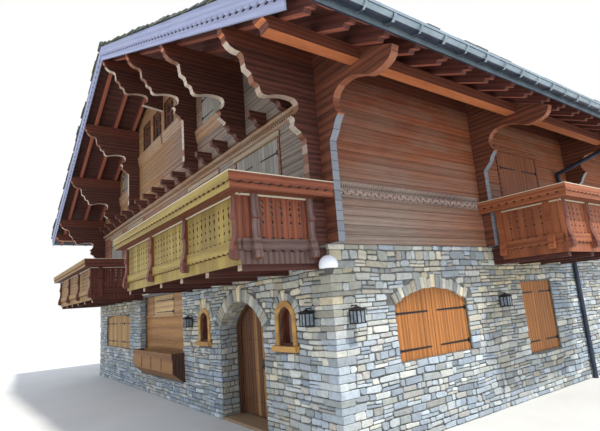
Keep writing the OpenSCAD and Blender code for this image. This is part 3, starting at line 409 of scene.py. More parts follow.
class Pile:
    """Small pieces that become one mesh, each with its own random tint and its own UVs in metres."""

    def __init__(self, seed):
        self.verts, self.faces, self.uvs, self.tints, self.mats = [], [], [], [], []
        rng = random.Random(seed)
        self.draw, self.rand = rng.random, rng.uniform

    def add(self, verts, faces, uvs=None, tint=None, mat=0):
        base = len(self.verts)
        mark = tint or (self.draw(), self.draw(), self.draw())
        self.verts += [tuple(v) for v in verts]
        self.uvs += uvs or [(v[0] + v[1], v[2]) for v in verts]
        self.tints += [mark] * len(verts)
        self.faces += [[base + i for i in f] for f in faces]
        self.mats += [mat] * len(faces)

    def slab(self, outline, place, low, high, bevel=0.0, tint=None, mat=0, rough=0.0, turn=False):
        """A flat piece: outline counter-clockwise, from depth low out to high, its front edge bevelled."""
        n = len(outline)
        rings = [(outline, low), (outline, high - bevel)]
        if bevel:
            rings.append((inset(outline, bevel), high))
        verts, uvs = [], []
        shift = self.draw() * 9
        for ring, depth in rings:
            for u, v in ring:
                lift = self.rand(-rough, rough) if depth > low else 0
                verts.append(place(u, v, depth + lift))
                uvs.append((v + shift, u + shift) if turn else (u + shift, v + shift))
        faces = ring_faces(len(rings) - 1, n)
        faces.append([(len(rings) - 1) * n + i for i in range(n)])
        self.add(verts, faces, uvs, tint, mat)

    def make(self, name, materials, body="house", replaces=()):
        mesh = bpy.data.meshes.new(name)
        mesh.from_pydata(self.verts, [], self.faces)
        layer = mesh.uv_layers.new(name="UVMap").data
        for loop in mesh.loops:
            layer[loop.index].uv = self.uvs[loop.vertex_index]
        tints = mesh.attributes.new("tint", "FLOAT_VECTOR", "POINT").data
        for item, value in zip(tints, self.tints):
            item.vector = value
        for m in materials:
            mesh.materials.append(m)
        for poly, index in zip(mesh.polygons, self.mats):
            poly.material_index = index
        mesh.update()
        ob = put(name, mesh)
        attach(ob, body)
        if replaces:
            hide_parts(*replaces)


def ring_faces(rows, n):
    """Faces between rings of n points each."""
    return [[r * n + i, r * n + (i + 1) % n, (r + 1) * n + (i + 1) % n, (r + 1) * n + i]
            for r in range(rows) for i in range(n)]


def inset(outline, by):
    """The outline moved inwards by a distance."""
    moved = []
    n = len(outline)
    for i in range(n):
        a, b, c = (Vector(outline[(i + k) % n]) for k in (-1, 0, 1))
        n0 = Vector((a.y - b.y, b.x - a.x)).normalized()
        n1 = Vector((b.y - c.y, c.x - b.x)).normalized()
        moved.append(b + (n0 + n1) * (by / max(0.4, 1 + n0.dot(n1))))
    return [tuple(p) for p in moved]


def below(outline, height):
    """The part of a convex outline under the straight line height(u)."""
    kept = []
    for a, b in zip(outline, outline[1:] + outline[:1]):
        over_a, over_b = a[1] - height(a[0]), b[1] - height(b[0])
        if over_a <= 1e-6:
            kept.append(a)
        if (over_a <= 1e-6) != (over_b <= 1e-6):
            t = over_a / (over_a - over_b)
            kept.append((a[0] + (b[0] - a[0]) * t, a[1] + (b[1] - a[1]) * t))
    return kept


def rect(u0, u1, v0, v1):
    return [(u0, v0), (u1, v0), (u1, v1), (u0, v1)]


def plane(origin, out, up=(0, 0, 1)):
    """Maps (u, v, depth) on a wall or slope to the row frame; u runs to the right as seen from outside."""
    o, n, w = Vector(origin), Vector(out), Vector(up)
    a = w.cross(n)
    return lambda u, v, d: o + a * u + w * v + n * d


FRONT = plane((0, -HD, 0), (0, -1, 0))
RIGHT = plane((HW, 0, 0), (1, 0, 0))
BACK = plane((0, HD, 0), (0, 1, 0))
LEFT = plane((-HW, 0, 0), (-1, 0, 0))
GABLE_FRONT = plane((0, WALL_Y, 0), (0, -1, 0))
GABLE_BACK = plane((0, -WALL_Y, 0), (0, 1, 0))


# Openings that boards and stones keep clear of
class Hole:
    """An opening in a wall, arched if it has a rise. ring is the width of the stones round its arch."""

    def __init__(self, middle, width, foot, spring, rise=0.0, ring=0.0):
        self.middle, self.half, self.foot = middle, width / 2, foot
        self.spring, self.rise, self.ring = spring, rise, ring
        self.r = (self.half ** 2 + rise ** 2) / (2 * rise) if rise else 0

    def blocked(self, z0, z1):
        top = self.spring + self.rise + self.ring
        if z1 <= self.foot + 0.01 or z0 >= top - 0.01:
            return None
        half = self.half
        if self.rise and z0 > self.spring - 0.02:
            centre = self.spring + self.rise - self.r
            reach = (self.r + self.ring) ** 2 - max(0.0, (z0 + z1) / 2 - centre) ** 2
            half = min(self.half + self.ring, math.sqrt(max(0.0, reach)))
        return (self.middle - half, self.middle + half) if half > 0.02 else None


def free(u0, u1, z0, z1, holes):
    """The stretches of u0..u1 that no hole takes between two heights."""
    spans = [(u0, u1)]
    for hole in holes:
        cut = hole.blocked(z0, z1)
        if cut:
            parts = [part for a, b in spans for part in ((a, min(b, cut[0])), (max(a, cut[1]), b))]
            spans = [(a, b) for a, b in parts if b > a]
    return [(a, b) for a, b in spans if b - a > 0.03]


def plain_holes(foot):
    """The plain windows of the back wall and of the left wall on one storey."""
    middles = [-line_x(k) for k in (1, 3, 5)], [-line_y(j) - SIDE_BAY / 2 for j in range(SIDE_BAYS)]
    return [[Hole(u, PLAIN_W, foot, foot + PLAIN_H) for u in wall] for wall in middles]


FRONT_HOLES = [Hole(DOOR_X, DOOR_W, -1, DOOR_SPRING, DOOR_RISE, 0.25), Hole(BAY_X, BAY_W, BAY_Z, BAY_TOP),
               Hole(WIDE_X, WIDE_W, 1.17, 2.17, 0.1)]
FRONT_HOLES += [Hole(x, 0.62, 1.445, SLIT_SPRING, SLIT_RISE, 0.17) for x in SLITS]
FRONT_HOLES += [Hole(x, 0.72, 1.44, 1.54) for x in SLITS]
RIGHT_HOLES = [Hole(SIDE_WIN_Y, SIDE_WIN_W, 1.17, 2.08, 0.245, 0.2), Hole(SQUARE_Y, SQUARE_W, 0.84, 2.31)]
BACK_HOLES, LEFT_HOLES = plain_holes(PLAIN_Z)


# Rubble stone
def course_heights(rand):
    z, rows = 0.0, []
    while z < STONE_H - 0.14:
        rows.append(z)
        z += rand(0.07, 0.135)
    return rows + [STONE_H - 0.09, STONE_H]


COURSES = course_heights(random.Random(41).uniform)


def quoin_lengths(rand):
    """How far the corner stones of each course reach along X and along Y, long and short in turn."""
    rows = []
    for row in range(len(COURSES) - 1):
        long, short = rand(0.28, 0.5), rand(0.13, 0.27)
        rows.append((long, short) if row % 2 else (short, long))
    return rows


SIGNS = ((1, -1), (1, 1), (-1, 1), (-1, -1))
CORNERS = {signs: quoin_lengths(random.Random(i + 1).uniform) for i, signs in enumerate(SIGNS)}


def wave(u, z, seed):
    """Courses of rubble wander up and down a little, but not at the foot, the top or the corners."""
    hold = min(1, z / 0.3, (STONE_H - z) / 0.3)
    return 0.032 * hold * noise.noise(Vector((u * 1.5, z * 2.0, seed)))


def warmth(u, z, seed, rand):
    """Stones are warm and brownish high on the walls and in some patches, blue-grey elsewhere."""
    patch = noise.noise(Vector((u * 0.55, z * 0.7, seed + 7.3)))
    return min(1, max(0, 0.3 + 0.9 * patch + 0.2 * (z - 1.6) + rand(-0.3, 0.3)))


def stone(pile, place, u0, u1, z0, z1, seed, dark=0.0):
    """One stone with broken corners, standing a little proud of the mortar."""
    draw, rand = pile.draw, pile.rand
    g = rand(0.0015, 0.0045)
    u0, u1 = u0 + g, u1 - g
    z0, z1 = z0 + g, z1 - g
    w, h = u1 - u0, z1 - z0
    if w < 0.02 or h < 0.015:
        return
    j = min(0.014, 0.15 * h)
    outline = []
    for cu, cv, du, dv in ((u0, z0, 1, 1), (u1, z0, -1, 1), (u1, z1, -1, -1), (u0, z1, 1, -1)):
        x, y = cu + rand(0, j) * du, cv + rand(0, j) * dv
        if draw() < 0.45:
            a, b = rand(0.08, 0.26) * min(w, 2 * h), rand(0.1, 0.34) * h
            first, second = (x, y + b * dv), (x + a * du, y)
            outline += [first, second] if du * dv > 0 else [second, first]
        else:
            outline.append((x, y))
    outline = [(u, v + wave(u, v, seed)) for u, v in outline]
    # dark lowers the stone's tone: painted shade for stones deep in an opening
    mark = (draw(), draw() * (1 - dark), warmth((u0 + u1) / 2, (z0 + z1) / 2, seed, rand))
    pile.slab(outline, place, -0.015, rand(0.012, 0.032), min(0.008, 0.16 * h), tint=mark, rough=0.003)


def stone_row(pile, place, u0, u1, z0, z1, seed):
    """Stones side by side along one course, some of them split in two or three."""
    draw, rand = pile.draw, pile.rand
    u = u0
    while u < u1 - 1e-6:
        w = rand(0.1, 0.34) if draw() < 0.85 else rand(0.34, 0.5)
        if u1 - u - w < 0.1:
            w = u1 - u
        if w > 0.16 and z1 - z0 > 0.095 and draw() < 0.35:
            split = z0 + (z1 - z0) * rand(0.4, 0.6)
            part = u + w * rand(0.35, 0.65) if w > 0.26 else u + w
            stone(pile, place, u, u + w, z0, split, seed)
            stone(pile, place, u, part, split, z1, seed)
            if part < u + w:
                stone(pile, place, part, u + w, split, z1, seed)
        else:
            stone(pile, place, u, u + w, z0, z1, seed)
        u += w


def stone_wall(name, place, half, left, right, holes, seed, material):
    """left and right give how far the corner stones reach in on each course."""
    pile = Pile(seed)
    for row, (z0, z1) in enumerate(zip(COURSES, COURSES[1:])):
        for a, b in free(left[row] - half, half - right[row], z0, z1, holes):
            stone_row(pile, place, a, b, z0, z1, seed)
    for hole in holes:
        if hole.ring:
            voussoirs(pile, place, hole)
    pile.make(name, [material])


def voussoirs(pile, place, hole):
    """Wedge stones round an arch, in three rows through the wall where its underside shows."""
    draw, rand = pile.draw, pile.rand
    centre = hole.spring + hole.rise - hole.r
    end = math.asin(min(1, hole.half / hole.r))
    wide = hole.half > 0.5
    n = max(5, round(2 * end * (hole.r + hole.ring / 2) / 0.105))
    g = 0.005 / hole.r
    for low, high in ((-0.36, -0.24), (-0.24, -0.12), (-0.12, None)) if wide else ((-0.015, None),):
        edges = [-end + 2 * end * i / n for i in range(n + 1)]
        edges = [edges[0]] + [a + rand(-0.25, 0.25) * 2 * end / n for a in edges[1:-1]] + [edges[-1]]
        for a0, a1 in zip(edges, edges[1:]):
            key = high is None and abs(a0 + a1) < 2.0 * end / n
            outer = hole.r + hole.ring * rand(0.72, 1.0) + (0.05 if key else 0)
            inner = hole.r - (rand(0.006, 0.022) if wide else 0)
            outline = [(hole.middle + r * sin(a), centre + r * cos(a))
                       for r, a in ((inner, a1 - g), (outer, a1 - g), (outer, a0 + g), (inner, a0 + g))]
            front = rand(0.018, 0.036) if high is None else high - 0.006
            # Stones in the rows further under the arch are darker: painted shade on its underside
            mark = (0.97, 1.0, 0.9) if key else (draw(), draw() * (1 if high is None else 0.4), 0.6)
            pile.slab(outline, place, low, front, 0.01 if high is None else 0.0, tint=mark)


def quoins(name, sides, seed, material):
    """Corner stones. sides are the signs of the corner's X and Y."""
    pile = Pile(seed)
    draw, rand = pile.draw, pile.rand
    sx, sy = sides
    for (z0, z1), (lx, ly) in zip(zip(COURSES, COURSES[1:]), CORNERS[sides]):
        p, q = rand(0.014, 0.034), rand(0.014, 0.034)
        g, b = 0.003, 0.008

        def ring(z, cut):
            pts = [(p - cut, q - cut), (p - cut, g + cut - ly), (-0.03, g + cut - ly), (-0.03, -0.03),
                   (g + cut - lx, -0.03), (g + cut - lx, q - cut)]
            return [(sx * (HW + x), sy * (HD + y), z) for x, y in pts]
        verts = ring(z0 + g, b) + ring(z0 + g + b, 0) + ring(z1 - g - b, 0) + ring(z1 - g, b)
        faces = ring_faces(3, 6) + [[5, 0, 3, 4], [0, 1, 2, 3], [18, 23, 22, 21], [18, 21, 20, 19]]
        if sx * sy > 0:
            faces = [f[::-1] for f in faces]
        pile.add(verts, faces, tint=(draw(), draw(), warmth(0, z0, seed, rand)))
    pile.make(name, [material])


def jamb_stones(pile, x, side, z0, z1, depth):
    """Rubble on the side of an opening, from the wall's face inwards. side is the way the jamb looks."""
    place = plane((x, -HD + (depth if side < 0 else 0), 0), (side, 0, 0))
    for a, b in zip(COURSES, COURSES[1:]):
        if b <= z0 + 0.01 or a >= z1 - 0.01:
            continue
        u = 0.0
        while u < depth - 0.01:
            w = pile.rand(0.09, 0.24)
            if depth - u - w < 0.07:
                w = depth - u
            # dark=0.5 paints shade on the rubble in the depth of the opening
            stone(pile, place, u, u + w, max(a, z0), min(b, z1), 5, dark=0.5)
            u += w


def reveals(material):
    """Rubble in the depth of the doorway and of the window bay."""
    pile = Pile(77)
    for s in (-1, 1):
        jamb_stones(pile, DOOR_X + s * DOOR_W / 2, -s, 0.06, DOOR_SPRING + 0.01, 0.37)
        jamb_stones(pile, BAY_X + s * BAY_W / 2, -s, BAY_Z, BAY_TOP, 0.15)
    pile.make("reveal_stones", [material])


# Boards
def boarding(material):
    """Horizontal boards over the timber walls, cut between the consoles where these cross the wall."""
    pile = Pile(8)

    def row(place, a, b, z0, z1, holes, top=None):
        for u0, u1 in free(a, b, z0, z1, holes):
            while u1 - u0 > 0.03:
                end = u1 if u1 - u0 < 4.6 else u0 + pile.rand(2.2, 4.0)
                outline = rect(u0 + 0.0015, end - 0.0015, z0 + 0.0015, z1 - 0.0015)
                if top:
                    outline = below(outline, top)
                if len(outline) > 2:
                    pile.slab(outline, place, -0.004, 0.013, 0.01)
                u0 = end

    upper_top = UPPER_TOP + 0.11
    doors = [Hole(x, UPPER_W, STONE_H - 1, upper_top) for x in UPPER_X]
    side_doors = [Hole(SIDE_UPPER, UPPER_W, STONE_H - 1, upper_top)]
    plain_back, plain_left = plain_holes(PLAIN_UP)
    gable = [Hole(x, LIGHT_W, LIGHT_Z, LIGHT_Z + LIGHT_H) for x in LIGHTS]
    gable += [Hole(x, HATCH_W, HATCH_Z, HATCH_Z + HATCH_H) for x in HATCHES]
    eave_top = PLATE_Z - 0.26
    inner = HW - LOG
    for i in range(math.ceil((roof_z(0) - STONE_H) / COURSE) + 3):
        z0 = STONE_H + i * COURSE
        z1 = z0 + COURSE
        if z0 < ATTIC_Z:
            row(GABLE_FRONT, -inner, inner, z0, min(z1, ATTIC_Z), doors)
            row(GABLE_BACK, -inner, inner, z0, min(z1, ATTIC_Z), plain_back)
        else:
            for k in range(BAYS):
                a = 0 if 2 * (k + 1) == BAYS else line_x(k + 1) + LOG / 2
                b = 0 if 2 * k == BAYS else line_x(k) - LOG / 2
                side = 1 if 2 * k < BAYS else -1
                for place, sign in ((GABLE_FRONT, 1), (GABLE_BACK, -1)):
                    u0, u1 = (a, b) if sign > 0 else (-b, -a)
                    row(place, u0, u1, z0, z1, gable,
                        lambda u, t=side * sign: PLATE_Z + (HW - t * u) * SLOPE + RAFTER_H - 0.01)
        if z0 < eave_top:
            for j in range(SIDE_BAYS):
                a, b = line_y(j) + LOG / 2, line_y(j + 1) - LOG / 2
                row(RIGHT, a, b, z0, min(z1, eave_top), side_doors)
                row(LEFT, -b, -a, z0, min(z1, eave_top), plain_left)
    pile.make("boards", [material])


# Slates
def slates(material):
    pile = Pile(9)
    draw, rand = pile.draw, pile.rand
    eave_x = EAVE_X + 0.07
    edge_y = BOX["roof_slates"][1].y
    length = eave_x / COS
    step, slate_l = 0.27, 0.52
    foot = PLATE_Z + (HW - eave_x) * SLOPE + ROOF_TOP
    for s in (1, -1):
        base = plane((s * eave_x, 0, foot), (s * SIN, 0, COS), (-s * COS, 0, SIN))
        row, v = 0, 0.0
        while v < length - 0.05:
            edges = [-edge_y]
            u = -edge_y + (rand(0.2, 0.42) if row % 2 else rand(0.1, 0.25))
            while u < edge_y - 0.02:
                edges.append(u)
                u += rand(0.2, 0.42)
            edges.append(edge_y)
            for a, b in zip(edges, edges[1:]):
                if b - a < 0.04:
                    continue
                low = v + (rand(-0.015, 0.03) if row else rand(-0.02, 0.04))
                high = min(low + slate_l, length - 0.01)
                gap_a, gap_b = (rand(-0.02, 0.04) if abs(u) == edge_y else 0.004 for u in (a, b))
                a, b = a + gap_a, b - gap_b
                c = rand(0.01, 0.055)
                outline = [(a + (c if draw() < 0.5 else 0), low), (b - c * draw(), low), (b, low + c),
                           (b, high), (a, high), (a, low + c)]
                t = rand(0.016, 0.03)
                lift = rand(0.036, 0.054)

                def place(u, w, d, low=low, high=high, lift=lift):
                    return base(u, w, d + lift * (1 - (w - low) / (high - low)))
                pile.slab(outline, place, 0.004, 0.004 + t)
            row += 1
            v += step
    pile.make("slates", [material], replaces=("roof_slates",))


# Small carved and forged pieces
def turned(shape, u, v, tilt):
    c, s = cos(tilt), sin(tilt)
    return [(u + x * c - y * s, v + x * s + y * c) for x, y in shape]


def oval(u, v, w, h, tilt=0.0, points=8):
    angles = [2 * pi * i / points for i in range(points)]
    return turned([(w / 2 * cos(a), h / 2 * sin(a)) for a in angles], u, v, tilt)


def leaf(u, v, w, h, tilt=0.0):
    """A pointed leaf, as cut between the lobes of the carved boards."""
    shape = [(-w / 2, 0), (-w / 5, -h / 2), (w / 5, -h / 2), (w / 2, 0), (w / 5, h / 2), (-w / 5, h / 2)]
    return turned(shape, u, v, tilt)


def rail_faces():
    """The rails' outer faces: a point on the face, the way it looks, and its ends."""
    y = -HD - BALCONY
    for name in ("near_balcony_rail", "far_balcony_rail"):
        x0, x1 = BOX[name][0].x, BOX[name][1].x
        yield (0, y, 0), (0, -1, 0), x0, x1
        yield (x1, 0, 0), (1, 0, 0), y, -HD
        yield (x0, 0, 0), (-1, 0, 0), HD, -y
    x = BOX["side_balcony_rail"][1].x
    y0, y1 = SIDE_RAIL
    yield (x, 0, 0), (1, 0, 0), y0, y1
    yield (0, y0, 0), (0, -1, 0), HW, x
    yield (0, y1, 0), (0, 1, 0), -x, -HW


def rail_painted_shadows(material):
    """Dark leaves of painted shadow between the lobes of the beams and planks, and at the feet of the pierced
    boards.
    """
    pile = Pile(12)
    for origin, out, u0, u1 in rail_faces():
        place = plane(origin, out)
        long_side = u1 - u0 > 2
        n = round((u1 - u0) / COURSE)
        for i in range(1, n):
            u = u0 + (u1 - u0) * i / n
            pile.slab(leaf(u, STONE_H + 0.757, 0.085, 0.03, 0.35), place, -0.021, -0.0185)
        corner = PANEL_IN + COURSE if long_side else 0.62
        outer = u0 if long_side or abs(u0) > abs(u1) else u1
        sign = 1 if outer == u0 else -1
        sunk = -PANEL_IN - 0.0005
        while corner <= (u1 - u0) - 0.27:
            u = outer + sign * corner
            pile.slab(leaf(u, STONE_H + 0.062, 0.06, 0.026, 0.2), place, sunk, sunk + 0.0035)
            pile.slab(leaf(u, STONE_H - 0.112, 0.075, 0.03, 0.3), place, sunk, sunk + 0.0045)
            corner += COURSE
    pile.make("rail_painted_shadows", [material])


def barge_carving(board, mark):
    """Lobes along the foot of the upper barge boards with a dark leaf of painted shade between each two."""
    pile = Pile(13)
    ridge = PLATE_Z + HW * SLOPE
    low = (ROOF_TOP - 0.23) * COS
    end = (EAVE_X - 0.18) / COS
    n = round(end / 0.2)
    w = end / n
    lobe = [(-0.46 * w, 0), (-0.4 * w, -0.022), (-0.2 * w, -0.04), (0.2 * w, -0.04), (0.4 * w, -0.022),
            (0.46 * w, 0)]
    face = BOX["barge_boards"][1].y
    for way in (-1, 1):
        for s in (-1, 1):
            turn = -1 if s * way > 0 else 1
            place = plane((0, way * face, ridge), (0, way, 0), (s * SIN, 0, COS))
            for i in range(n):
                u = turn * end * (i + 0.5) / n
                pile.slab([(u + x, low + y) for x, y in lobe], place, -0.0275, -0.0005)
                if i < n - 1:
                    between_lobes = leaf(u + turn * w / 2, low - 0.026, 0.135, 0.052, turn * 0.45)
                    pile.slab(between_lobes, place, -0.0285, -0.026, mat=1)
    pile.make("barge_carving", [board, mark])


def wall_carving(timber, mark):
    """Flutes and a leaf scroll on the right wall's band, and saw teeth under the gables' cornice; the
    flutes, the scroll's hollows and the teeth are dark marks of painted shade.
    """
    pile = Pile(14)
    face = 0.024
    z = STONE_H + 0.835
    y, i = -HD + LOG + 0.09, 0
    while y < SIDE_RAIL[0] - 0.06:
        pile.slab(oval(y, STONE_H + 0.922, 0.02, 0.048, 0.12, 6), RIGHT, face, face + 0.0025, mat=1)
        if i % 2 == 0:
            turn = 1 if i % 4 else -1
            for du, dv, w, h, tilt, thick in ((0, 0, 0.135, 0.032, 0.95, 0.012),
                                              (0.036, 0.023, 0.08, 0.024, -0.5, 0.009),
                                              (0.032, -0.023, 0.07, 0.024, 0.3, 0.009)):
                pile.slab(leaf(y + du, z + dv, w, h, tilt * turn), RIGHT, face, face + thick, 0.004)
            hollow = oval(y - 0.026, z + 0.003 + 0.03 * turn, 0.034, 0.034)
            pile.slab(hollow, RIGHT, face, face + 0.003, mat=1)
        y += 0.044
        i += 1
    for place in (GABLE_FRONT, GABLE_BACK):
        for k in range(round(2 * (HW - LOG) / 0.075)):
            u, foot = -HW + LOG + 0.075 * (k + 0.5), ATTIC_Z - 0.082
            tooth = [(u - 0.03, foot), (u + 0.008, foot - 0.053), (u + 0.03, foot)]
            pile.slab(tooth, place, face, face + 0.0035, mat=1)
    pile.make("wall_carving", [timber, mark])


def strap(pile, place, root, tip, v, depth, h=0.036):
    """A strap hinge with a pointed end, and the knuckle at its root."""
    s = 1 if tip > root else -1
    outline = [(root, v - h / 2), (tip - s * 0.05, v - 0.36 * h), (tip, v), (tip - s * 0.05, v + 0.36 * h),
               (root, v + h / 2)]
    pile.slab(outline if s > 0 else outline[::-1], place, depth, depth + 0.007, 0.002)
    pile.slab(rect(root - 0.013, root + 0.013, v - 0.038, v + 0.038), place, depth, depth + 0.02, 0.004)


def ironwork(material):
    """Straps on the shutters and doors that stay shut."""
    pile = Pile(15)
    recess, proud = -0.03, 0.015

    def pairs(place, middle, root, tip, heights, depth, h=0.036):
        for s in (-1, 1):
            for z in heights:
                strap(pile, place, middle + s * root, middle + s * tip, z, depth, h)

    root, tip = WIDE_LEAF / 2 - 0.03, WIDE_LEAF / 2 - 0.1
    for i, s in enumerate((-1, -1, 1, 1)):
        u = WIDE_X + WIDE_LEAF * (i - 1.5)
        for z in (1.36, 1.98):
            strap(pile, FRONT, u + s * root, u - s * tip, z, recess)
    pairs(RIGHT, SIDE_WIN_Y, SIDE_WIN_W / 2 - 0.03, 0.1, (1.33, 1.92), recess)
    pairs(RIGHT, SQUARE_Y, SQUARE_W / 2 - 0.03, 0.1, (1.06, 2.08), recess)
    for z in (2.26, 2.59):
        strap(pile, FRONT, BAY_X + 0.16 * BAY_W - 0.03, BAY_X - 0.25 * BAY_W, z, -0.2, 0.03)
    for x in UPPER_X:
        pairs(GABLE_FRONT, x, 0.77, 0.12, (STONE_H + 0.35, UPPER_TOP - 0.28), proud, 0.034)
    pairs(RIGHT, SIDE_UPPER, 0.77, 0.12, (STONE_H + 0.35, STONE_H + 1.8), proud, 0.034)
    for x in HATCHES:
        for place in (GABLE_FRONT, GABLE_BACK):
            pairs(place, x, 0.77, 0.14, (HATCH_Z + 0.13, HATCH_Z + 0.6), proud, 0.03)
    pile.make("straps", [material])


def door_planks(side, planks, light_wood, iron):
    """Planks, nails and fittings on the outer face of one leaf, clear of the frame and riding with it."""
    pile = Pile(30 + side)
    wood_face, gap = -0.46, 0.075
    iron_face = wood_face + 0.008
    near, far = 0.008, DOOR_W / 2 - gap
    r = ((DOOR_W / 2) ** 2 + DOOR_RISE ** 2) / (2 * DOOR_RISE)
    centre = DOOR_SPRING + DOOR_RISE - r
    right = side > 0

    def top(u):
        return centre + math.sqrt((r - gap) ** 2 - (u - DOOR_X) ** 2)

    n = 6
    for i in range(n):
        a, b = sorted(DOOR_X + side * (near + (far - near) * k / n) for k in (i, i + 1))
        a, b = a + 0.002, b - 0.002
        outline = [(a, 0.09), (b, 0.09), (b, top(b)), ((a + b) / 2, top((a + b) / 2)), (a, top(a))]
        pale = i == (0 if right else 1)
        pile.slab(outline, FRONT, wood_face, iron_face, 0.004, mat=1 if pale else 0, turn=True)
        for z in (0.35, 0.95, 1.55):
            for u in (a + 0.03, b - 0.03):
                nail = oval(u, z, 0.016, 0.016, points=6)
                pile.slab(nail, FRONT, iron_face, iron_face + 0.005, 0.002, mat=2)
    if right:
        u = DOOR_X + 0.06
        pile.slab(rect(u - 0.024, u + 0.024, 0.98, 1.18), FRONT, iron_face, iron_face + 0.004, 0.001, mat=2)
        handle = oval(u, 1.03, 0.075, 0.075, points=12)
        pile.slab(handle, FRONT, iron_face + 0.004, iron_face + 0.014, 0.004, mat=2)
    way = "right" if right else "left"
    pile.make("door_planks_" + way, [planks, light_wood, iron], "leaf_" + way)


def gutter_details(material):
    """Seams and brackets round the gutters and a bead along their outer lips."""
    pile = Pile(16)
    r = 0.105
    x, z = EAVE_X + 0.03 + r, BOX["gutters"][0].z + r
    long = BOX["gutters"][1].y
    brackets = [(-long + 0.35 + 0.98 * i, 0.022, 0.004) for i in range(16)]
    seams = [(y + 0.49, 0.012, 0.007) for y, w, t in brackets[:-1]]
    for s in (-1, 1):
        for y, w, t in brackets + seams:
            verts = [(s * (x + radius * cos(a)), end, z + radius * sin(a))
                     for a in [pi * (1 + i / 8) for i in range(9)]
                     for radius in (r, r + t) for end in (y - w, y + w)]
            faces = []
            for k in range(0, 32, 4):
                quads = [[k + 2, k + 3, k + 7, k + 6], [k, k + 2, k + 6, k + 4], [k + 1, k + 5, k + 7, k + 3]]
                faces += quads if s > 0 else [q[::-1] for q in quads]
            pile.add(verts, faces)
        ring = oval(x + r, z - 0.004, 0.018, 0.018, points=6)
        verts = [(s * u, y, v) for y in (-long + 0.002, long - 0.002) for u, v in ring]
        faces = ring_faces(1, 6) + [[5, 4, 3, 2, 1, 0], [6, 7, 8, 9, 10, 11]]
        pile.add(verts, [f[::-1] for f in faces] if s > 0 else faces)
    pile.make("gutter_details", [material])


def bay_boards(material):
    """Horizontal planks under the bay's ledge."""
    pile = Pile(17)
    half = BAY_W / 2 - 0.004
    z = BAY_Z + 0.01
    while z < LEDGE_Z - 0.01:
        top = min(z + 0.217, LEDGE_Z - 0.002)
        pile.slab(rect(BAY_X - half, BAY_X + half, z + 0.002, top - 0.002), FRONT, -0.2, -0.19, 0.004)
        z = top
    pile.make("bay_boards", [material])


def lantern_cages(iron, panes):
    """A square cage with cloudy panes round each lantern, under a hipped cap."""
    pile = Pile(18)
    half, foot, head, tip = 0.08, 1.86, 2.045, 2.115
    for x, y in ((6.98, -HD - 0.13), (2.18, -HD - 0.13), (HW + 0.13, -5.92), (HW + 0.13, -1.95)):
        for out in ((1, 0), (0, 1), (-1, 0), (0, -1)):
            place = plane((x + half * out[0], y + half * out[1], 0), (*out, 0))
            pile.slab(rect(-half, half, foot, head), place, -0.008, -0.004, mat=1)
            for u in (-half + 0.006, 0, half - 0.006):
                pile.slab(rect(u - 0.006, u + 0.006, foot, head), place, -0.006, 0.004)
            for z in (foot, head):
                pile.slab(rect(-half - 0.004, half + 0.004, z - 0.008, z + 0.008), place, -0.008, 0.006)
        corners = [(x + s * (half + 0.02), y + t * (half + 0.02), head + 0.008)
                   for s, t in ((-1, -1), (1, -1), (1, 1), (-1, 1))]
        pile.add(corners + [(x, y, tip)], [[0, 1, 4], [1, 2, 4], [2, 3, 4], [3, 0, 4], [3, 2, 1, 0]])
    pile.make("lantern_cages", [iron, panes])


# Camera, light and ground
def camera():
    """The photograph's camera: near corner of the house right of the middle, seen from low down."""
    yaw, pitch, roll = 0.941265476, 0.192605867, -0.0751610498
    forward = Vector((-sin(yaw) * cos(pitch), cos(yaw) * cos(pitch), sin(pitch)))
    level = Vector((cos(yaw), sin(yaw), 0))
    up = level.cross(forward)
    right = cos(roll) * level + sin(roll) * up
    up = cos(roll) * up - sin(roll) * level
    data = bpy.data.cameras.new("photo_camera")
    data.sensor_width = 36
    data.sensor_fit = "HORIZONTAL"
    data.lens = 27.095
    data.clip_end = 300
    cam = put("photo_camera", data)
    place = Matrix((right, up, -forward)).transposed().to_4x4()
    place.translation = Vector((HW + 5.21573, -HD - 4.28165, 2.20003))
    cam.matrix_world = place
    bpy.context.scene.camera = cam


def ground():
    mesh = bpy.data.meshes.new("floor")
    r = 120
    mesh.from_pydata([(u, v, 0) for u, v in rect(-r, r, -r, r)], [], [[0, 1, 2, 3]])
    paving = plain_material("floor", (0.62, 0.62, 0.6), (0.68, 0.68, 0.67), 0.6, 0.9, strength=0.05)
    mesh.materials.append(paving)
    ob = put("floor", mesh)
    ob.location.z = -0.002


def light():
    sun = bpy.data.lights.new("sun", "SUN")
    sun.energy = 3.6
    sun.angle = 0.05
    sun.color = (1.0, 0.96, 0.88)
    toward = Vector((-0.52, -0.13, -0.88))
    put("sun", sun).rotation_euler = toward.to_track_quat("-Z", "Y").to_euler()
    world = bpy.data.worlds.new("sky")
    bpy.context.scene.world = world
    world.use_nodes = True
    Shader.tree = world.node_tree
    seen = node("ShaderNodeLightPath", output="Is Camera Ray")
    feed(Shader.tree.nodes["Background"].inputs["Color"], mix(seen, (0.95, 1.02, 1.14), (1, 1, 1)))


def paint(material, *names):
    for name in names:
        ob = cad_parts[name]
        if not ob.material_slots:
            ob.data.materials.append(material)
        for slot in ob.material_slots:
            slot.material = material
    return material


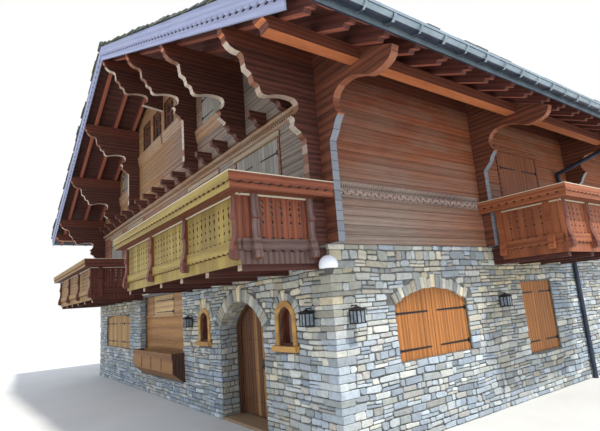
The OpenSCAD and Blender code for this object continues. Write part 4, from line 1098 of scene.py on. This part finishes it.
# Stains and painted light and shade on parts of the house, as (where, dark, light)
def siding_zones():
    x, y, z = (spot(a) for a in "XYZ")
    right = x > HW - 0.1
    front = y < -HD + 0.3
    wander = clouds(points(), 0.5, 3.0) * 4.0 - 2.0
    return [(right * grow(z + wander * 0.4, 4.9, 3.3), (0.2, 0.14, 0.11), (0.37, 0.275, 0.22)),
            (right * grow(z, 4.4, 5.7) * 0.8, (0.12, 0.028, 0.015), (0.23, 0.06, 0.032)),
            (right * grow(y + wander, -4.6, -1.2) * 0.8, (0.23, 0.062, 0.02), (0.4, 0.125, 0.042)),
            (front * grow(x + wander, 3.5, -2) * grow(z, 5.4, 6.2), (0.24, 0.115, 0.042), (0.43, 0.24, 0.1)),
            (front * grow(x + wander, -1.0, 4.5) * 0.9, (0.135, 0.11, 0.088), (0.31, 0.262, 0.212))]


def lit_console_edges(log):
    """Sawn edges under the eaves, lighter than the consoles' sides as painted light, cream on some logs and
    brown on others.
    """
    return mix(grow(log, 0.35, 0.65), (0.62, 0.51, 0.41), (0.24, 0.105, 0.062))


def eave_edges(log):
    """Red-brown on the curves, weathered grey on the stacks below them."""
    curve = mix(grow(log, 0.35, 0.65), (0.4, 0.155, 0.082), (0.24, 0.08, 0.042))
    return mix(spot("Z") < ATTIC_Z - 0.62, curve, (0.25, 0.27, 0.31))


def floor_zones():
    """The joists' ends under the balconies are pale."""
    end = looks("Y") * (spot("Z") < STONE_H - 0.28) * (spot("Y") < -HD - 0.5)
    return [(end, (0.26, 0.19, 0.12), (0.48, 0.38, 0.26))]


def frame_zones():
    """Jambs of the upper doors are reddish and their headers pale; the attic's windows are dark, as are the
    inner frames of the small arched windows."""
    x, y, z = (spot(a) for a in "XYZ")
    return [((x > HW - 0.3) * (z > STONE_H), (0.17, 0.054, 0.024), (0.34, 0.125, 0.055)),
            (between(z, STONE_H, UPPER_TOP) * (y < HD - 1), (0.13, 0.045, 0.025), (0.3, 0.115, 0.062)),
            (between(z, UPPER_TOP, ATTIC_Z) * (x < HW - 0.3), (0.24, 0.165, 0.105), (0.42, 0.32, 0.22)),
            (z > LIGHT_Z - 0.06, (0.085, 0.03, 0.018), (0.24, 0.095, 0.052)),
            ((z < 2.5) * between(y, -HD - 0.012, -HD + 0.8), (0.085, 0.028, 0.014), (0.22, 0.08, 0.04))]


def zinc_zones():
    """Downpipes are dark, and the undersides of the gutters are dark with painted shade."""
    outwards = facing("X") * calc("SIGN", spot("X"))
    foot = (facing("Z") < -0.2) * (outwards < 0.45)
    return [(either(spot("Z") < ATTIC_Z - 0.08, foot), (0.02, 0.028, 0.05), (0.055, 0.07, 0.105))]


def glass_zones():
    """The small arched windows have dark red panes."""
    slit = (spot("Z") < 2.5) * (spot("Y") < -HD + 0.5)
    return [(slit, (0.045, 0.012, 0.008), (0.12, 0.035, 0.022))]


def bay_zones():
    """Over the ledge the bay's boards are paler, most of all in the middle."""
    upper = spot("Z") > LEDGE_Z
    middle = upper * between(spot("X"), BAY_X - 1.09, BAY_X + 0.62)
    return [(upper, (0.26, 0.13, 0.055), (0.5, 0.29, 0.14)),
            (middle, (0.36, 0.22, 0.095), (0.66, 0.45, 0.22))]


# The house
PALETTE = [(0.42, 0.45, 0.47), (0.52, 0.55, 0.56), (0.44, 0.44, 0.4), (0.6, 0.6, 0.56), (0.34, 0.37, 0.4),
           (0.55, 0.58, 0.59), (0.5, 0.46, 0.4), (0.66, 0.65, 0.6), (0.38, 0.42, 0.45), (0.54, 0.53, 0.49),
           (0.44, 0.48, 0.52), (0.7, 0.66, 0.56)]
SLATES = [(0.17, 0.2, 0.18), (0.2, 0.22, 0.19), (0.14, 0.17, 0.14), (0.22, 0.24, 0.22), (0.17, 0.2, 0.13)]
OLIVE = ((0.21, 0.138, 0.024), (0.41, 0.295, 0.07))
AMBER = ((0.17, 0.085, 0.018), (0.36, 0.2, 0.05))
RED = ((0.125, 0.032, 0.016), (0.33, 0.095, 0.042))
DARK_RED = ((0.065, 0.018, 0.012), (0.18, 0.05, 0.03))
RUST = ((0.19, 0.052, 0.022), (0.42, 0.14, 0.055))
POST = ((0.075, 0.024, 0.016), (0.24, 0.08, 0.052))
MAUVE = ((0.085, 0.045, 0.038), (0.24, 0.15, 0.13))
# LIP: the pale colour of the rails' caps and ledges, also their painted highlight on upward faces
LIP = (0.62, 0.56, 0.42)

paint(plain_material("mortar", (0.085, 0.085, 0.08), (0.2, 0.2, 0.19), 9.0, 0.95, strength=0.5),
      "stone_front_right", "stone_over_door", "stone_front_left", "stone_right_wall", "stone_left_wall",
      "stone_back_wall")
rubble = stone_material("rubble", PALETTE)
slate = paint(stone_material("slate", SLATES, mottled=0.8), "ridge_slates")
siding = wood("siding", (0.17, 0.054, 0.024), (0.32, 0.112, 0.052), grey=(0.25, 0.2, 0.155), grey_amount=0.3,
              vary=0.1, lines="Z", first=STONE_H, zones=siding_zones)
paint(wood("side_dark", (0.06, 0.024, 0.014), (0.16, 0.075, 0.042), "X"), "timber_front_wall",
      "timber_back_wall", "timber_right_wall", "timber_left_wall", "gable_front", "gable_back")
# The sides that look along X are dark with painted shade; the other faces take the edge colours as painted
# light
paint(wood("consoles", (0.04, 0.012, 0.009), (0.155, 0.052, 0.034), "Y", lines="Z", first=STONE_H,
           edge=lit_console_edges, edge_axis="X",
           # The ends of the stacks beside the corner are grey, and so are the lower logs
           zones=lambda: [(looks("Y") * (spot("Z") < ATTIC_Z - 0.4),
                           (0.12, 0.12, 0.14), (0.26, 0.26, 0.29))]),
      "front_consoles", "back_consoles")
paint(wood("eave_consoles", (0.075, 0.023, 0.013), (0.225, 0.075, 0.038), "X", lines="Z", first=STONE_H,
           edge=eave_edges, edge_axis="Y"), "eave_consoles_right", "eave_consoles_left")
paint(wood("purlins", (0.085, 0.024, 0.014), (0.2, 0.06, 0.032), "Y",
           # Undersides are lighter, with the ground's light on them
           zones=lambda: [(facing("Z") < -0.7, (0.36, 0.105, 0.038), (0.64, 0.225, 0.088))]), "purlins")
paint(wood("rafters", (0.075, 0.024, 0.019), (0.17, 0.058, 0.043), "slope",
           # Undersides are lighter, with painted light from the ground on them
           zones=lambda: [(facing("Z") < -0.7, (0.24, 0.07, 0.045), (0.42, 0.135, 0.085))]), "rafters")
paint(wood("soffit", (0.06, 0.02, 0.015), (0.13, 0.045, 0.032), "Y", lines="X", pitch=0.12,
           # The boards beyond the rafters' carved ends catch light
           zones=lambda: [(abs(spot("X")) > HW + 1.4, (0.32, 0.115, 0.07), (0.54, 0.22, 0.135))]),
      "roof_boards")
paint(wood("ochre", (0.36, 0.18, 0.045), (0.66, 0.37, 0.105), "X", zones=frame_zones), "window_frames")
bay = paint(wood("bay", (0.25, 0.11, 0.03), (0.48, 0.245, 0.08), "X", zones=bay_zones), "bay_panel")
paint(wood("planter", (0.16, 0.068, 0.02), (0.36, 0.175, 0.055), "X",
           # Its ends are dark with painted shade
           zones=lambda: [(looks("X"), (0.045, 0.02, 0.013), (0.12, 0.055, 0.033))]), "planter_box")
paint(wood("mouldings", (0.24, 0.125, 0.062), (0.48, 0.29, 0.16), "X", (0.36, 0.3, 0.24), 0.45,
           # The right wall's carved band is mauve-brown like the boards beside it
           zones=lambda: [(spot("X") > HW - 0.1, (0.13, 0.08, 0.066), (0.27, 0.185, 0.155))]),
      "gable_mouldings")
paint(wood("joist_ends", (0.055, 0.018, 0.013), (0.19, 0.068, 0.045), "Y"), "joist_ends")
paint(rail_wood("near_rail", "X", NEAR_RAIL, -1, (2.255, -7.37), OLIVE, RED, MAUVE), "near_balcony_rail")
paint(rail_wood("far_rail", "X", FAR_RAIL, -1, (-7.345, -7.37), AMBER, DARK_RED, DARK_RED),
      "far_balcony_rail")
paint(rail_wood("side_rail", "Y", SIDE_RAIL, 1, (-1.852, 8.62), RUST, RUST, RUST), "side_balcony_rail")
paint(wood("balcony_floor", (0.04, 0.011, 0.008), (0.105, 0.028, 0.018), "Y", zones=floor_zones),
      "balcony_floors")
barge = paint(wood("barge", (0.25, 0.27, 0.42), (0.4, 0.43, 0.62), "slope", (0.36, 0.39, 0.5), 0.4),
              "barge_boards")
paint(wood("door", (0.06, 0.026, 0.013), (0.19, 0.09, 0.042), "Z"), "door_frame", "door_leaf_left",
      "door_leaf_right")
plank = wood("door_planks", (0.065, 0.027, 0.013), (0.215, 0.095, 0.042), vary=0.15)
light_plank = wood("door_light", (0.22, 0.095, 0.032), (0.46, 0.235, 0.085))
paint(wood("shutters", (0.26, 0.09, 0.02), (0.5, 0.205, 0.055), "Z", lines="run", pitch=0.13,
           # The gable side's shutters are yellower
           zones=lambda: [(spot("Y") < -HD + 0.2, (0.3, 0.15, 0.036), (0.56, 0.33, 0.095))]),
      "ground_shutters")
paint(wood("upper_shutters", (0.21, 0.185, 0.15), (0.42, 0.39, 0.34), "Z", lines="run", pitch=0.13,
           # The upper door of the right wall is orange-brown, the gable's doors are weathered pale
           zones=lambda: [(spot("X") > HW - 0.1, (0.2, 0.058, 0.022), (0.38, 0.135, 0.052))]),
      "upper_shutters")
carving = wood("carving", (0.26, 0.175, 0.145), (0.52, 0.38, 0.32))
# Near-black marks of painted shade: shadows between carved lobes, in flutes and hollows, and at the saw teeth
cut = plain_material("painted_shade_marks", (0.022, 0.012, 0.008), (0.045, 0.026, 0.018), 20.0, 0.9)
paint(wood("inside", (0.22, 0.14, 0.08), (0.42, 0.3, 0.18), "X"), "ground_floor", "first_floor",
      "attic_floor")
zinc = paint(plain_material("zinc", (0.24, 0.31, 0.36), (0.38, 0.46, 0.52), 3.0, 0.42, 0.45, 0.1, zinc_zones),
             "gutters", "downpipes")
iron = paint(plain_material("iron", (0.012, 0.012, 0.014), (0.035, 0.034, 0.036), 30.0, 0.5, 0.6),
             "door_hinges", "lanterns")
paint(plain_material("glass", (0.03, 0.034, 0.04), (0.075, 0.082, 0.095), 1.5, 0.06, 0.0, 0.0, glass_zones),
      "window_glass")
pane = plain_material("lantern_glass", (0.13, 0.16, 0.19), (0.3, 0.34, 0.38), 12.0, 0.15, 0.0, 0.05)
# The lamp's dome sits in a dark bowl
bowl_z = BOX["globe_lamp"][0].z + 0.088
paint(plain_material("lamp_white", (0.8, 0.84, 0.9), (0.9, 0.93, 0.97), 4.0, 0.25, 0.0, 0.02,
                     lambda: [(spot("Z") < bowl_z, (0.03, 0.03, 0.035), (0.1, 0.09, 0.09))]), "globe_lamp")


WALLS = (("front_stones", FRONT, HW, FRONT_HOLES), ("right_stones", RIGHT, HD, RIGHT_HOLES),
         ("back_stones", BACK, HW, BACK_HOLES), ("left_stones", LEFT, HD, LEFT_HOLES))
for i, (name, place, half, holes) in enumerate(WALLS):
    left, right = ([row[i % 2] for row in CORNERS[SIGNS[k]]] for k in (i - 1, i))
    stone_wall(name, place, half, left, right, holes, 3 + i, rubble)
for i, sides in enumerate(SIGNS):
    quoins("corner_stones_" + str(i + 1), sides, 20 + i, rubble)
reveals(rubble)
boarding(siding)
slates(slate)
rail_painted_shadows(cut)
barge_carving(barge, cut)
wall_carving(carving, cut)
ironwork(iron)
for side in (-1, 1):
    door_planks(side, plank, light_plank, iron)
gutter_details(zinc)
bay_boards(bay)
lantern_cages(iron, pane)

camera()
ground()
light()
bpy.context.scene.view_settings.view_transform = "Standard"
